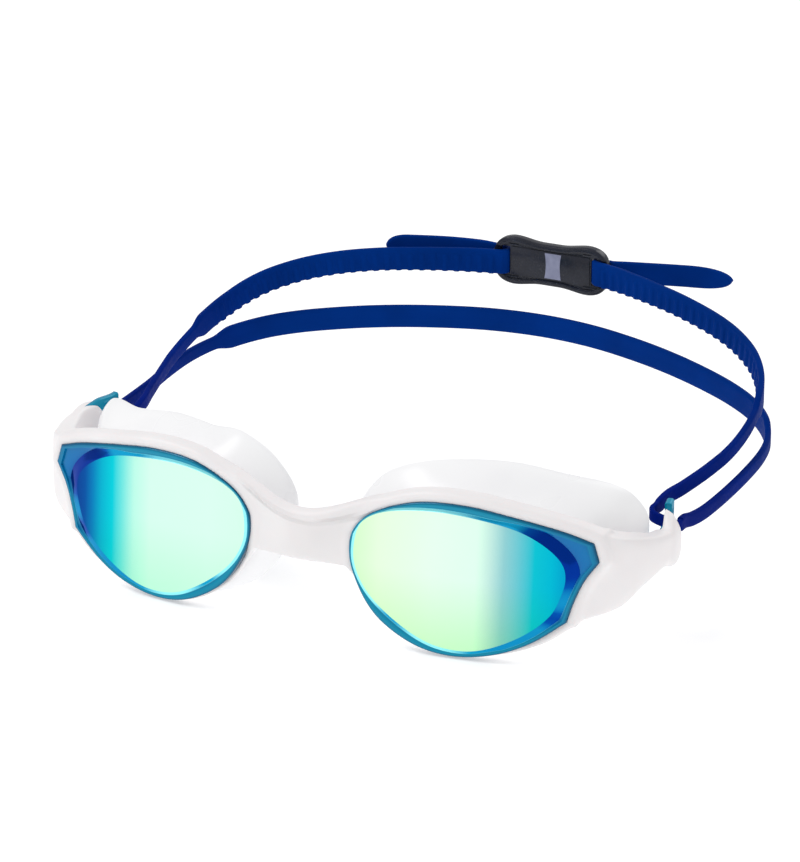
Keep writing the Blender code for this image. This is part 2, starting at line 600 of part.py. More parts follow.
def make_buckle():
    """Slotted buckle: a thick middle plate between two slots, each with an outer bar."""
    cx, cy, cz = BUCKLE_CENTRE
    half = BUCKLE_THICKNESS / 2
    sections = []
    for y, grow in ((-half, -BUCKLE_EDGE), (BUCKLE_EDGE - half, 0.0),
                    (half - BUCKLE_EDGE, 0.0), (half, -BUCKLE_EDGE)):
        sections.append([(cx + x, cy + y, cz + z) for x, z in buckle_outline(grow)])
    buckle = loft("buckle", sections, "smoke_plastic")
    slot_middle = sum(BUCKLE_SLOT) / 2
    slot_length = BUCKLE_SLOT[1] - BUCKLE_SLOT[0]
    bar_relief = (BUCKLE_THICKNESS - BAR_THICKNESS) / 2
    for side in (-1.0, 1.0):
        slot = block("buckle_slot", (side * slot_middle, cy, cz),
                     (slot_length, 10.0, BUCKLE_SLOT_HEIGHT))
        combine(buckle, slot, "DIFFERENCE")
        for face in (-1.0, 1.0):
            relief = block("bar_relief", (side * (BUCKLE_SLOT[1] + 3.0), cy + face * half, cz),
                           (7.0, 2 * bar_relief, BUCKLE_SLOT_HEIGHT))
            combine(buckle, relief, "DIFFERENCE")
    for face in (-1.0, 1.0):
        window = block("window", (cx, cy + face * half, cz),
                       (WINDOW[0], 2 * WINDOW_DEPTH, WINDOW[1]))
        combine(buckle, window, "DIFFERENCE")
    smooth_shade(buckle)
    return buckle


def axis_empty(name, origin, parent=None):
    """An empty on a joint's axis, placed in millimetres."""
    empty = bpy.data.objects.new(name, None)
    make_collection(COLLECTION).objects.link(empty)
    empty.location = [value * MM for value in origin]
    if parent:
        empty.parent = parent
        empty.location = [a - b for a, b in zip(empty.location, parent_origin(parent))]
    return empty


def parent_origin(parent):
    """Where an empty stands in the design's own coordinates."""
    place = [0.0, 0.0, 0.0]
    while parent and parent.name != "goggles_origin":
        place = [a + b for a, b in zip(place, parent.location)]
        parent = parent.parent
    return place


def attach(obj, parent):
    """Parents a solid and moves its origin onto the parent, leaving the solid in place."""
    shift = parent_origin(parent)
    for vertex in obj.data.vertices:
        for axis in range(3):
            vertex.co[axis] -= shift[axis]
    obj.parent = parent


def main():
    for obj in list(bpy.data.objects):
        bpy.data.objects.remove(obj, do_unlink=True)

    carrier, lens, seal = make_carrier(), make_lens(), make_seal()
    loop, upper = make_ear_loop(), make_upper()
    fixed = [make_frame(), carrier, mirrored(carrier, "lens_carrier_left"), lens,
             mirrored(lens, "lens_left"), seal, mirrored(seal, "seal_left")]

    origin = axis_empty("goggles_origin", (0.0, -FOOTPRINT_Y, -FOOT_Z))
    swing = axis_empty("strap_swing_axis", (0.0, *SWING_AXIS), origin)
    upper_axis = axis_empty("strap_upper_axis", (0.0, *UPPER_AXIS), swing)
    lower_axis = axis_empty("strap_lower_axis", (0.0, *LOWER_AXIS), swing)
    tail_z = BUCKLE_CENTRE[2]
    right_axis = axis_empty("tail_right_axis", (*TAIL_AXIS, tail_z), upper_axis)
    left_axis = axis_empty("tail_left_axis", (-TAIL_AXIS[0], TAIL_AXIS[1], tail_z), upper_axis)

    for obj in fixed:
        attach(obj, origin)
    for obj in (loop, mirrored(loop, "strap_ear_loop_left")):
        attach(obj, swing)
    for obj in (upper, mirrored(upper, "strap_upper_left"), make_buckle()):
        attach(obj, upper_axis)
    attach(make_lower(), lower_axis)
    attach(make_tail("strap_tail_right", TAIL_RIGHT), right_axis)
    tail = make_tail("tail_pattern", TAIL_LEFT)
    attach(mirrored(tail, "strap_tail_left"), left_axis)
    bpy.data.objects.remove(tail, do_unlink=True)


main()
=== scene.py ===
"""Looks for the swim goggles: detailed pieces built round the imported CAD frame.

Shapes are worked out in millimetres in the part's own design coordinates: +X to one side, +Y
from the lenses back to the buckle, +Z up, nose bridge at x 0. world() turns them into metres in
the frame's coordinates.
"""
import math

import bmesh
import bpy
import numpy as np
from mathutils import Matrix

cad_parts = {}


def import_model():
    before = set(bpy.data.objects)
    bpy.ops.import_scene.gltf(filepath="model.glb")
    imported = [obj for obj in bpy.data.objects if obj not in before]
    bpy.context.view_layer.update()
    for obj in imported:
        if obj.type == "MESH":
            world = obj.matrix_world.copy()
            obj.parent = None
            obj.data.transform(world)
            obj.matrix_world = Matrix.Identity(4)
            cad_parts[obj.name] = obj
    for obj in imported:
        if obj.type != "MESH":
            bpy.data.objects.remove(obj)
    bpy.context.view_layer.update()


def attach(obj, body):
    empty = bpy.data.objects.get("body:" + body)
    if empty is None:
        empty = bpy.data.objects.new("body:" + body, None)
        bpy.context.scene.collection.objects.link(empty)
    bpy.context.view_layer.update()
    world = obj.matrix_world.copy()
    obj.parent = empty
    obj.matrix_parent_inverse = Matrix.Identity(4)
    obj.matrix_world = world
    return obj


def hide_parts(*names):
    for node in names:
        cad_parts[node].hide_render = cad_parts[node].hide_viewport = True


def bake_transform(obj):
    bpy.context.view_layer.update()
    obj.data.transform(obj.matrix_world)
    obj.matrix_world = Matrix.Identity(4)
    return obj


MM = 0.001
FLOOR_Z = 2.75
DESIGN_TO_FRAME = np.array([0.0, -76.36, -FLOOR_Z])     # millimetres, as in part.py

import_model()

# ---- camera ------------------------------------------------------------------------------

CAMERA_LENS = 174.15
CAMERA_PLACE = (0.41255, -0.88586, 0.41812)
CAMERA_TILT, CAMERA_TURN = 68.0, 25.52     # degrees

camera_data = bpy.data.cameras.new("camera")
camera_data.lens = CAMERA_LENS
camera_data.sensor_width = 36.0
camera_data.clip_end = 20.0
camera = bpy.data.objects.new("camera", camera_data)
camera.location = CAMERA_PLACE
camera.rotation_euler = (math.radians(CAMERA_TILT), 0.0, math.radians(CAMERA_TURN))
bpy.context.scene.collection.objects.link(camera)
bpy.context.scene.camera = camera

# ---- dimensions, in millimetres, as in part.py ---------------------------------------------

EYE_CENTRE = (41.0, 22.0)
FOOT_Z = 2.78
WRAP = (2.3, -0.132, 0.00328)
WRAP_LEAN = 0.089
LEAN_HEIGHT = 27.0
RIM_ARC = [(71.0, 34.2), (63.7, 36.7), (52.0, 39.2), (40.8, 40.7), (29.5, 40.0), (19.5, 36.0),
           (14.3, 31.0), (13.1, 25.9), (14.3, 20.0), (18.5, 12.6), (24.1, 7.7), (31.9, 4.2),
           (40.5, 3.3), (49.7, 4.9), (58.0, 8.6), (65.8, 14.4)]
RIM_WING = [(65.8, 14.4), (67.2, 19.5), (69.3, 24.8), (72.4, 29.6)]
LENS_EDGE = [(14.5, 26.0), (15.8, 32.0), (20.0, 35.6), (27.0, 37.7), (36.0, 38.5), (46.0, 37.7),
             (54.0, 36.0), (60.0, 33.0), (64.0, 29.3), (65.2, 25.5), (64.4, 21.0), (62.0, 15.8),
             (56.5, 10.8), (49.0, 6.8), (42.0, 5.1), (34.0, 5.9), (26.5, 9.5), (19.3, 15.0),
             (15.5, 20.6)]
SEAL_EDGE = [(9.4, 14.4, 32.0), (15.0, 14.2, 40.0), (23.0, 15.0, 44.2), (33.0, 19.5, 45.3),
             (45.0, 24.0, 45.0), (57.0, 28.0, 42.6), (66.2, 32.5, 40.2), (71.2, 35.4, 36.6),
             (74.1, 37.0, 30.0), (72.3, 35.4, 19.0), (64.0, 31.0, 10.5), (53.0, 26.5, 5.0),
             (41.0, 22.0, 2.6), (30.0, 18.0, 2.6), (20.0, 15.5, 7.5), (12.5, 14.3, 16.0),
             (9.2, 14.2, 24.5)]
LENS_THICKNESS = 1.8
CARRIER_DEPTH = 2.8
RIM_DEPTH = 6.0
TEMPLE_DEPTH = 2.2
RIM_WIDTH_LOW = 0.9
RIM_WIDTH_HIGH = 2.4
RIM_TUCK = 0.7          # how far the white reaches in under the tinted rim
RIM_FLANGE = 2.8        # and how far in behind it
TEMPLE_PULL = 0.27      # how far the rear of the rim draws in at the temple
NOSE_SHIFT = 1.1
MIRROR_PROUD = 0.10
CARRIER_BAND = 1.5
CARRIER_STEP = 0.10
SEAL_FOOT_OUT = 0.3
SEAL_FOOT_IN = 2.4
SEAL_BULGE = [(0.35, 1.1), (0.72, 1.3), (0.94, 0.6), (1.0, -0.5)]
SEAL_WALL = 1.3
SEAL_LIP = 3.0
SEAL_SAG = 2.9          # how much lower the top of the left cup has settled
SEAL_TUCK = 2.2         # how far in its root lies at the temple
SEAL_NOSE_TUCK = 0.9    # and how far in its nose side lies
BRIDGE_LOW = 20.4
BRIDGE_HIGH = 33.2
BRIDGE_FRONT = -0.6
BRIDGE_BACK = 4.6
CREASE_Z = 31.2
CREASE_CURVE = 18.0     # per metre
CREASE_TIP = 0.05
PLATE_THICKNESS = 1.8
PLATE_BEVEL = 0.35
LOW_PLATE_TOP = 28.2    # the right plate is low in front of the bar that holds the strap
BAR_START = (42.9, 43.4)
BAR_RISE = 4.8
PLATE = [(67.4, 10.3, 23.1, 30.7), (71.4, 14.2, 22.8, 31.2), (74.2, 18.9, 22.5, 31.6),
         (76.8, 23.6, 22.3, 31.8), (77.8, 28.8, 22.3, 31.9), (77.6, 34.5, 22.3, 32.2),
         (76.7, 40.0, 22.3, 33.0), (75.7, 46.2, 23.0, 33.8)]
SLOT_Y = {"right": (40.3, 43.8), "left": (40.3, 44.0)}
SLOT_Z = (24.0, 32.5)
# Soft arms: outer x and y, inner x and y, lowest z, highest z; the two sides are bent differently
ARM = {
    "right": [(76.3, 15.0, 71.5, 19.5, 16.5, 34.6), (79.2, 21.5, 74.4, 24.5, 19.6, 32.6),
              (80.7, 28.0, 75.9, 29.5, 21.2, 30.8), (81.2, 33.0, 75.9, 33.0, 21.6, 29.8),
              (81.0, 35.5, 75.8, 35.5, 22.6, 29.2), (80.6, 37.0, 75.7, 37.0, 25.0, 28.2)],
    "left": [(76.3, 15.0, 71.5, 19.5, 16.5, 34.8), (79.2, 21.5, 74.4, 24.5, 19.6, 34.0),
             (80.7, 28.0, 75.9, 29.5, 20.6, 33.8), (81.2, 33.0, 75.9, 33.0, 20.8, 33.4),
             (81.0, 35.5, 75.8, 35.5, 22.4, 31.8), (80.6, 37.0, 75.7, 37.0, 25.0, 29.6)],
}
ARM_POINTS = 15
# Their rear ends: the same, then lowest and highest z of the inner side, and taper at the top
ARM_TAIL = {
    "right": [(79.6, 29.5, 78.0, 29.5, 22.5, 29.0, 22.5, 29.0, 0.0),
              (81.5, 34.5, 77.8, 34.5, 20.6, 29.4, 20.6, 28.6, 0.3),
              (81.4, 38.3, 77.0, 38.3, 19.8, 31.4, 19.8, 31.9, 1.1),
              (81.0, 40.7, 76.2, 40.7, 20.8, 32.0, 20.8, 32.9, 1.6)],
    "left": [(80.0, 27.5, 76.6, 27.5, 22.5, 32.6, 26.0, 34.0, 0.0),
             (81.5, 33.5, 75.9, 33.0, 20.0, 33.6, 25.6, 35.0, 0.0),
             (81.4, 38.5, 75.5, 37.2, 19.4, 33.9, 27.0, 34.0, 0.0),
             (81.0, 41.2, 75.3, 39.2, 20.6, 33.4, 29.0, 32.0, 0.0)],
}
LOOP = [(79.0, 45.2, 27.4), (79.1, 43.8, 27.5), (78.3, 42.5, 27.9), (76.2, 42.25, 28.6),
        (74.0, 42.6, 29.3), (73.2, 43.8, 29.8), (73.4, 45.2, 30.0)]
UPPER = [(73.4, 47.2, 30.0), (73.9, 52.0, 30.6), (75.3, 58.0, 31.0), (77.3, 70.0, 32.2),
         (78.6, 82.0, 34.0), (78.3, 94.0, 36.6), (76.0, 105.0, 39.5), (71.0, 114.3, 42.3),
         (63.8, 121.6, 44.5), (55.0, 127.6, 46.1), (43.5, 133.4, 47.3), (32.0, 138.6, 47.7),
         (23.0, 142.8, 47.6), (16.6, 145.6, 47.3)]
TURN = [(14.4, 146.0, 47.3), (12.9, 146.9, 47.3), (12.6, 148.2, 47.3), (13.3, 149.7, 47.3),
        (15.4, 150.5, 47.3)]
LOWER = [(79.0, 44.4, 27.5), (79.0, 47.2, 27.3), (79.5, 51.0, 26.5), (80.5, 58.0, 26.1),
         (81.7, 70.0, 26.3), (82.2, 82.0, 26.9), (81.8, 93.0, 27.4), (80.0, 102.0, 27.8),
         (76.4, 109.4, 28.5), (70.5, 116.0, 29.4), (63.6, 121.0, 30.2), (55.0, 125.8, 30.9),
         (43.0, 131.2, 31.7), (30.0, 136.2, 32.1), (15.0, 140.4, 32.3), (0.0, 142.0, 32.3)]
TAIL_RIGHT = [(17.0, 150.5, 47.3), (22.0, 151.2, 47.6), (36.0, 152.4, 48.5),
              (43.6, 152.6, 48.9), (49.5, 152.4, 49.2)]
TAIL_LEFT = [(17.0, 150.5, 47.3), (22.0, 149.9, 47.7), (30.0, 147.2, 48.2),
             (38.5, 143.0, 48.7), (44.6, 139.5, 49.0)]
NECK_WIDTH = 3.5
BAND_WIDTH = 6.2
BUCKLE_WIDENING = 0.4
TAIL_WIDTH = 5.9
TAIL_TIP = {"right": 12.0, "left": 6.0}
STRAP_THICK = 1.6
EAR_NARROWING, EAR_THINNING = 0.6, 0.3
UPPER_INWARD = {"right": (1.2, 1.2, 0.2, 0.0, 0.0), "left": (3.0, 3.0, 2.0, 2.0, 0.0)}
UPPER_INWARD_Y = (45.0, 55.0, 75.0, 105.0, 130.0)
LOWER_INWARD = {"right": 0.7, "left": 1.7}
LOOP_FORWARD = {"right": 0.25, "left": 0.0}
BUCKLE_LEAN = {"right": 0.35, "left": -0.45}
SHOULDER_Y = {"right": 95.5, "left": 89.5}
SHOULDER_LENGTH = 4.5
LOWER_SHOULDER = (103.0, 108.5)
RIB_PITCH = 3.1
RIB_PROUD = 0.42
RIBS_START = (97.5, 100.5)
RIBS_END = (145.8, 146.6)
BUCKLE_CENTRE = (0.0, 148.2, 47.4)
BUCKLE_LENGTH = 33.2
BUCKLE_END_HEIGHT = 13.6
BUCKLE_WAIST_HEIGHT = 11.4
BUCKLE_THICK = 3.0
BUCKLE_EDGE = [(0.0, -0.7), (0.1, -0.3), (0.4, -0.05), (0.8, 0.0)]     # depth, growth
BUCKLE_SLOT = (11.7, 14.7)
BUCKLE_SLOT_HEIGHT = 7.4
BUCKLE_PANEL = 11.3
BUCKLE_RELIEF = 0.62
BUCKLE_RIBS = [(8.4, 12.6, 5.15), (9.4, 13.9, 4.5)]     # inner end, outer end, height
WINDOW_HALF_HEIGHT = 3.5
WINDOW_SHIFT = 0.8

# ---- curves ----------------------------------------------------------------------------------


def spline(points, steps, closed=False):
    """Catmull-Rom curve through the points, with the same number of steps on each span."""
    pts = np.array(points, float)
    if closed:
        pts = np.concatenate([pts[-1:], pts, pts[:2]])
    else:
        pts = np.concatenate([2 * pts[:1] - pts[1:2], pts, 2 * pts[-1:] - pts[-2:-1]])
    curve = []
    for a, b, c, d in zip(pts[:-3], pts[1:-2], pts[2:-1], pts[3:]):
        for t in np.arange(steps) / steps:
            curve.append(0.5 * (2 * b + (c - a) * t + (2 * a - 5 * b + 4 * c - d) * t ** 2
                                + (3 * b - a - 3 * c + d) * t ** 3))
    if not closed:
        curve.append(pts[-2])
    return np.array(curve)


def even(curve, count):
    """The same open curve with its points the same distance apart."""
    length = np.r_[0.0, np.cumsum(np.linalg.norm(np.diff(curve[:, :3], axis=0), axis=1))]
    wanted = np.linspace(0.0, length[-1], count)
    return np.column_stack([np.interp(wanted, length, column) for column in curve.T])


def smooth(value, low, high):
    t = np.clip((value - low) / (high - low), 0.0, 1.0)
    return t * t * (3.0 - 2.0 * t)


def front_y(x, z):
    return WRAP[0] + WRAP[1] * x + WRAP[2] * x ** 2 + WRAP_LEAN * (z - LEAN_HEIGHT)


def outward(outline):
    along = np.roll(outline, -1, axis=0) - np.roll(outline, 1, axis=0)
    along /= np.linalg.norm(along, axis=1)[:, None]
    return np.column_stack([along[:, 1], -along[:, 0]])


def at_angles(edge, angles):
    """Points of a closed curve at given directions from the middle of the lens."""
    dense = spline(edge, 16, closed=True)
    x_z = dense[:, [0, -1]] - EYE_CENTRE
    turn = np.arctan2(x_z[:, 1], x_z[:, 0])
    order = np.argsort(turn)
    turn = turn[order]
    wrapped = np.r_[turn - 2 * math.pi, turn, turn + 2 * math.pi]
    return np.column_stack([np.interp(angles, wrapped, np.tile(column[order], 3))
                            for column in dense.T])


arc = even(spline(RIM_ARC, 16), 161)[:-1]
wing = even(spline(RIM_WING, 16), 25)[:-1]
tip = even(np.array([RIM_WING[-1], RIM_ARC[0]]), 7)[:-1]
RIM = np.vstack([arc, wing, tip])
RIM_OUT = outward(RIM)
RIM_ANGLE = np.arctan2(RIM[:, 1] - EYE_CENTRE[1], RIM[:, 0] - EYE_CENTRE[0])
LENS_RIM = at_angles(LENS_EDGE, RIM_ANGLE)
TEMPLE = smooth(RIM_OUT[:, 0], 0.2, 0.9)


def spread(values, reach):
    """Running mean round a closed ring."""
    return np.mean([np.roll(values, shift, axis=0) for shift in range(-reach, reach + 1)], axis=0)


TEMPLE_SOFT = spread(TEMPLE, 14)
FOOT = RIM + (EYE_CENTRE - RIM) * TEMPLE_PULL * TEMPLE_SOFT[:, None]
FOOT_OUT = outward(spread(FOOT, 6))


def rim_ring(out, back, outline=RIM, normals=RIM_OUT):
    out = np.broadcast_to(out, len(outline))
    x_z = outline + normals * out[:, None]
    x, z = x_z[:, 0], np.maximum(x_z[:, 1], FOOT_Z)
    return np.column_stack([x, front_y(x, z) + back, z])


# ---- meshes ----------------------------------------------------------------------------------


def world(points):
    return (np.asarray(points, float) + DESIGN_TO_FRAME) * MM


def flip(points):
    return np.asarray(points, float) * np.array([-1.0, 1.0, 1.0])


def nose_shift(points):
    """The soft bridge is bent a little to one side."""
    moved = np.array(points, float)
    moved[:, 0] -= NOSE_SHIFT * (1.0 - smooth(np.abs(moved[:, 0]), 12.0, 42.0))
    return moved


def grid_faces(rows, columns, close_rows=False, close_columns=True, start=0):
    faces = []
    for i in range(rows if close_rows else rows - 1):
        for j in range(columns if close_columns else columns - 1):
            k, m = (i + 1) % rows, (j + 1) % columns
            faces.append((start + i * columns + j, start + i * columns + m,
                          start + k * columns + m, start + k * columns + j))
    return faces


def hoop(rings):
    return np.vstack(rings), grid_faces(len(rings), len(rings[0]), close_rows=True)


def loft(sections):
    """Closed sections joined one to the next, with a strip of faces as each cap."""
    size = len(sections[0])
    last = (len(sections) - 1) * size
    faces = grid_faces(len(sections), size)
    for start in (0, last):
        for j in range(size // 2 - 1):
            faces.append((start + j, start + j + 1, start + size - 2 - j, start + size - 1 - j))
    return np.vstack(sections), faces


def mesh_object(name, shapes, material=None, angle=40.0):
    """One object from several closed shapes, each (points in millimetres, faces)."""
    points, faces, start = [], [], 0
    for shape_points, shape_faces in shapes:
        points.append(world(shape_points))
        faces += [tuple(start + i for i in face) for face in shape_faces]
        start += len(shape_points)
    mesh = bpy.data.meshes.new(name)
    mesh.from_pydata(np.vstack(points).tolist(), [], faces)
    bm = bmesh.new()
    bm.from_mesh(mesh)
    bmesh.ops.recalc_face_normals(bm, faces=bm.faces)
    bm.to_mesh(mesh)
    bm.free()
    obj = bpy.data.objects.new(name, mesh)
    bpy.context.scene.collection.objects.link(obj)
    if material:
        mesh.materials.append(material)
    shade(obj, angle)
    return obj


def shade(obj, angle=40.0):
    obj.data.shade_smooth()
    obj.data.set_sharp_from_angle(angle=math.radians(angle))


def apply_modifiers(obj):
    bpy.context.view_layer.update()
    evaluated = obj.evaluated_get(bpy.context.evaluated_depsgraph_get())
    mesh = bpy.data.meshes.new_from_object(evaluated)
    obj.modifiers.clear()
    old = obj.data
    obj.data = mesh
    bpy.data.meshes.remove(old)
    mesh.name = obj.name


def cut(obj, tools, operation="DIFFERENCE"):
    for tool in tools:
        modifier = obj.modifiers.new("cut", "BOOLEAN")
        modifier.operation = operation
        modifier.object = tool
        modifier.solver = "EXACT"
    apply_modifiers(obj)
    for tool in tools:
        bpy.data.objects.remove(tool, do_unlink=True)


def point_attribute(obj, name, values):
    attribute = obj.data.attributes.new(name, "FLOAT", "POINT")
    attribute.data.foreach_set("value", np.asarray(values, np.float32))


# ---- materials ---------------------------------------------------------------------------------


def srgb(red, green, blue):
    """A colour given as it looks on screen, 0 to 255, in linear numbers."""
    linear = []
    for value in (red / 255.0, green / 255.0, blue / 255.0):
        linear.append(value / 12.92 if value <= 0.04045 else ((value + 0.055) / 1.055) ** 2.4)
    return (*linear, 1.0)


class Shader:
    """A node material with its Principled shader, and short ways to add to it."""

    def __init__(self, name, **sockets):
        self.material = bpy.data.materials.new(name)
        self.material.use_nodes = True
        self.tree = self.material.node_tree
        self.shader = self.tree.nodes["Principled BSDF"]
        for socket, value in sockets.items():
            self.shader.inputs[socket.replace("_", " ")].default_value = value

    def node(self, kind, **settings):
        node = self.tree.nodes.new(kind)
        for key, value in settings.items():
            setattr(node, key, value)
        return node

    def link(self, output, target):
        self.tree.links.new(output, target)

    def position(self):
        return self.node("ShaderNodeTexCoord").outputs["Object"]

    def noise(self, scale, detail=3.0):
        """Noise with features about 1/scale metres across."""
        texture = self.node("ShaderNodeTexNoise")
        texture.inputs["Scale"].default_value = scale
        texture.inputs["Detail"].default_value = detail
        self.link(self.position(), texture.inputs["Vector"])
        return texture.outputs["Fac"]

    def attribute(self, name):
        return self.node("ShaderNodeAttribute", attribute_name=name).outputs["Fac"]

    def ramp(self, factor, stops):
        """A colour ramp from (position, colour) pairs."""
        node = self.node("ShaderNodeValToRGB")
        elements = node.color_ramp.elements
        while len(elements) < len(stops):
            elements.new(0.5)
        for element, (place, colour) in zip(elements, stops):
            element.position = place
            element.color = colour
        self.link(factor, node.inputs["Fac"])
        return node.outputs["Color"]

    def scaled(self, value, low, high, to_low=0.0, to_high=1.0):
        node = self.node("ShaderNodeMapRange")
        for socket, number in (("From Min", low), ("From Max", high), ("To Min", to_low),
                               ("To Max", to_high)):
            node.inputs[socket].default_value = number
        self.link(value, node.inputs["Value"])
        return node.outputs["Result"]

    def mix(self, factor, first, second, blend="MIX"):
        node = self.node("ShaderNodeMix", data_type="RGBA", blend_type=blend)
        sockets = {s.identifier: s for s in node.inputs}
        for key, value in (("Factor_Float", factor), ("A_Color", first), ("B_Color", second)):
            if isinstance(value, bpy.types.NodeSocket):
                self.link(value, sockets[key])
            else:
                sockets[key].default_value = value
        return {s.identifier: s for s in node.outputs}["Result_Color"]

    def axis(self, name):
        node = self.node("ShaderNodeSeparateXYZ")
        self.link(self.position(), node.inputs["Vector"])
        return node.outputs[name]

    def math(self, operation, first, second=0.0):
        node = self.node("ShaderNodeMath", operation=operation)
        for socket, value in zip(node.inputs, (first, second)):
            if isinstance(value, bpy.types.NodeSocket):
                self.link(value, socket)
            else:
                socket.default_value = value
        return node.outputs["Value"]

    def bump(self, height, strength, distance):
        """Adds a bump to those that are there already."""
        node = self.node("ShaderNodeBump")
        node.inputs["Strength"].default_value = strength
        node.inputs["Distance"].default_value = distance
        self.link(height, node.inputs["Height"])
        normal = self.shader.inputs["Normal"]
        if normal.is_linked:
            self.link(normal.links[0].from_socket, node.inputs["Normal"])
        self.link(node.outputs["Normal"], normal)

    def colour(self, output):
        self.link(output, self.shader.inputs["Base Color"])

    def roughness(self, output):
        self.link(output, self.shader.inputs["Roughness"])


def soft_white():
    """Satin white elastomer: barely mottled, with a fine moulded grain."""
    s = Shader("soft_white", Subsurface_Weight=0.18, Subsurface_Scale=0.0012,
               Subsurface_Radius=(1.0, 0.8, 0.75), Specular_IOR_Level=0.4)
    s.colour(s.ramp(s.noise(55.0, 2.0), [(0.3, srgb(240, 236, 237)), (0.7, srgb(246, 243, 244))]))
    s.roughness(s.scaled(s.noise(900.0), 0.3, 0.7, 0.36, 0.46))
    s.bump(s.noise(3200.0, 2.0), 0.10, 0.00012)
    # A crease runs across the bridge along a shallow curve that tips to one side
    x, z = s.axis("X"), s.axis("Z")
    rise = s.math("MULTIPLY", s.math("MULTIPLY", x, x), CREASE_CURVE)
    line = s.math("SUBTRACT", s.math("SUBTRACT", z, rise), (CREASE_Z - FOOT_Z) * MM)
    line = s.math("ADD", line, s.math("MULTIPLY", x, CREASE_TIP))
    ridge = s.scaled(s.math("ABSOLUTE", line), 0.0, 0.0009, 1.0, 0.0)
    beside = s.scaled(s.math("ABSOLUTE", x), 0.013, 0.020, 1.0, 0.0)
    s.bump(s.math("MULTIPLY", ridge, beside), 0.8, 0.0006)
    return s.material


def milky_seal():
    """Cloudy silicone with a faint white emission, a painted glow that makes it look a little brighter.
    """
    # The emission is a painted glow that brightens the cups evenly; it is not light passing through.
    s = Shader("milky_silicone", Specular_IOR_Level=0.4, Emission_Color=(1.0, 1.0, 1.0, 1.0),
               Emission_Strength=0.07)
    s.colour(s.ramp(s.noise(40.0, 2.0), [(0.3, srgb(238, 238, 240)), (0.7, srgb(246, 246, 247))]))
    s.roughness(s.scaled(s.noise(90.0, 1.0), 0.3, 0.7, 0.27, 0.36))
    return s.material


def mirror(name, stops, low_reflection_tint):
    """Mirror coating whose colours are painted reflections: they run across the face by place and tint
    towards the bottom, with a bright lip, a painted highlight, and a dark blue bevel.
    """
    s = Shader(name, Metallic=0.75, Coat_Weight=0.03, Coat_Roughness=0.08,
               Specular_IOR_Level=0.02)
    low, high = stops[0][0] * MM, stops[-1][0] * MM
    # The colours across the face, set by place, are painted reflections.
    place = s.scaled(s.axis("X"), low, high)
    face = s.ramp(place, [((x * MM - low) / (high - low), srgb(*c)) for x, c in stops])
    # Towards the bottom the painted reflection takes a tint.
    lower = s.scaled(s.axis("Z"), 0.020, 0.003)
    if low_reflection_tint:
        face = s.mix(lower, face, s.mix(1.0, face, srgb(*low_reflection_tint), "MULTIPLY"))
    # The pale cyan at the start of this ramp, the bright lip round the lens, is a painted highlight.
    edge = s.ramp(s.attribute("wing"), [(0.0, srgb(150, 242, 250)), (0.12, srgb(20, 160, 205)),
                                        (0.45, srgb(0, 80, 170)), (1.0, srgb(0, 50, 150))])
    front = s.mix(s.scaled(s.attribute("bevel"), 0.45, 0.55), face, edge)
    s.colour(s.mix(s.scaled(s.attribute("bevel"), 1.45, 1.55), front, srgb(20, 112, 130)))
    s.roughness(s.scaled(s.noise(260.0), 0.3, 0.7, 0.09, 0.14))
    s.bump(s.noise(120.0, 1.0), 0.02, 0.0004)
    return s.material


def tinted_teal():
    """Clear teal plastic: deeper at its outer edge, brighter towards the wing's low facet, and pale
    cyan next to the lens, a painted highlight.
    """
    s = Shader("tinted_teal", Specular_IOR_Level=0.2, Coat_Weight=0.12, Coat_Roughness=0.05,
               Metallic=0.15)
    # From about 0.8 to 1.0, next to the lens, this ramp rises to a pale painted highlight.
    rim = s.ramp(s.attribute("across"), [(0.0, srgb(0, 64, 92)), (0.2, srgb(0, 96, 130)),
                                         (0.45, srgb(0, 138, 172)), (0.62, srgb(0, 146, 180)),
                                         (0.8, srgb(0, 120, 160)), (0.9, srgb(90, 220, 238)),
                                         (1.0, srgb(150, 242, 250))])
    wing = s.ramp(s.attribute("across"), [(0.0, srgb(0, 58, 84)), (0.3, srgb(0, 98, 140)),
                                          (0.58, srgb(0, 132, 178)), (0.66, srgb(0, 120, 184)),
                                          (1.0, srgb(0, 102, 178))])
    s.colour(s.mix(s.attribute("wing"), rim, wing))
    s.roughness(s.scaled(s.noise(400.0), 0.3, 0.7, 0.12, 0.18))
    s.bump(s.noise(900.0, 2.0), 0.03, 0.0001)
    return s.material


def navy_silicone():
    """Matt navy, a little greener towards the buckle."""
    s = Shader("navy_silicone", Specular_IOR_Level=0.015)
    along = s.scaled(s.axis("Y"), -0.030, 0.045)
    base = s.ramp(along, [(0.0, srgb(4, 28, 118)), (0.35, srgb(0, 32, 120)),
                          (0.7, srgb(0, 40, 122)), (1.0, srgb(0, 46, 124))])
    mottle = s.scaled(s.noise(70.0, 2.0), 0.3, 0.7, 0.90, 1.10)
    grey = s.node("ShaderNodeCombineColor")
    for channel in ("Red", "Green", "Blue"):
        s.link(mottle, grey.inputs[channel])
    s.colour(s.mix(1.0, base, grey.outputs["Color"], "MULTIPLY"))
    s.roughness(s.scaled(s.noise(1200.0), 0.3, 0.7, 0.46, 0.60))
    s.bump(s.noise(4200.0, 2.0), 0.10, 0.00008)
    return s.material


def smoke_plastic():
    s = Shader("smoke_plastic", Specular_IOR_Level=0.28, Coat_Weight=0.12, Coat_Roughness=0.12)
    s.colour(s.ramp(s.noise(160.0, 3.0), [(0.3, srgb(20, 23, 36)), (0.7, srgb(30, 34, 48))]))
    s.roughness(s.scaled(s.noise(800.0), 0.3, 0.7, 0.20, 0.32))
    s.bump(s.noise(2200.0, 2.0), 0.08, 0.0001)
    return s.material


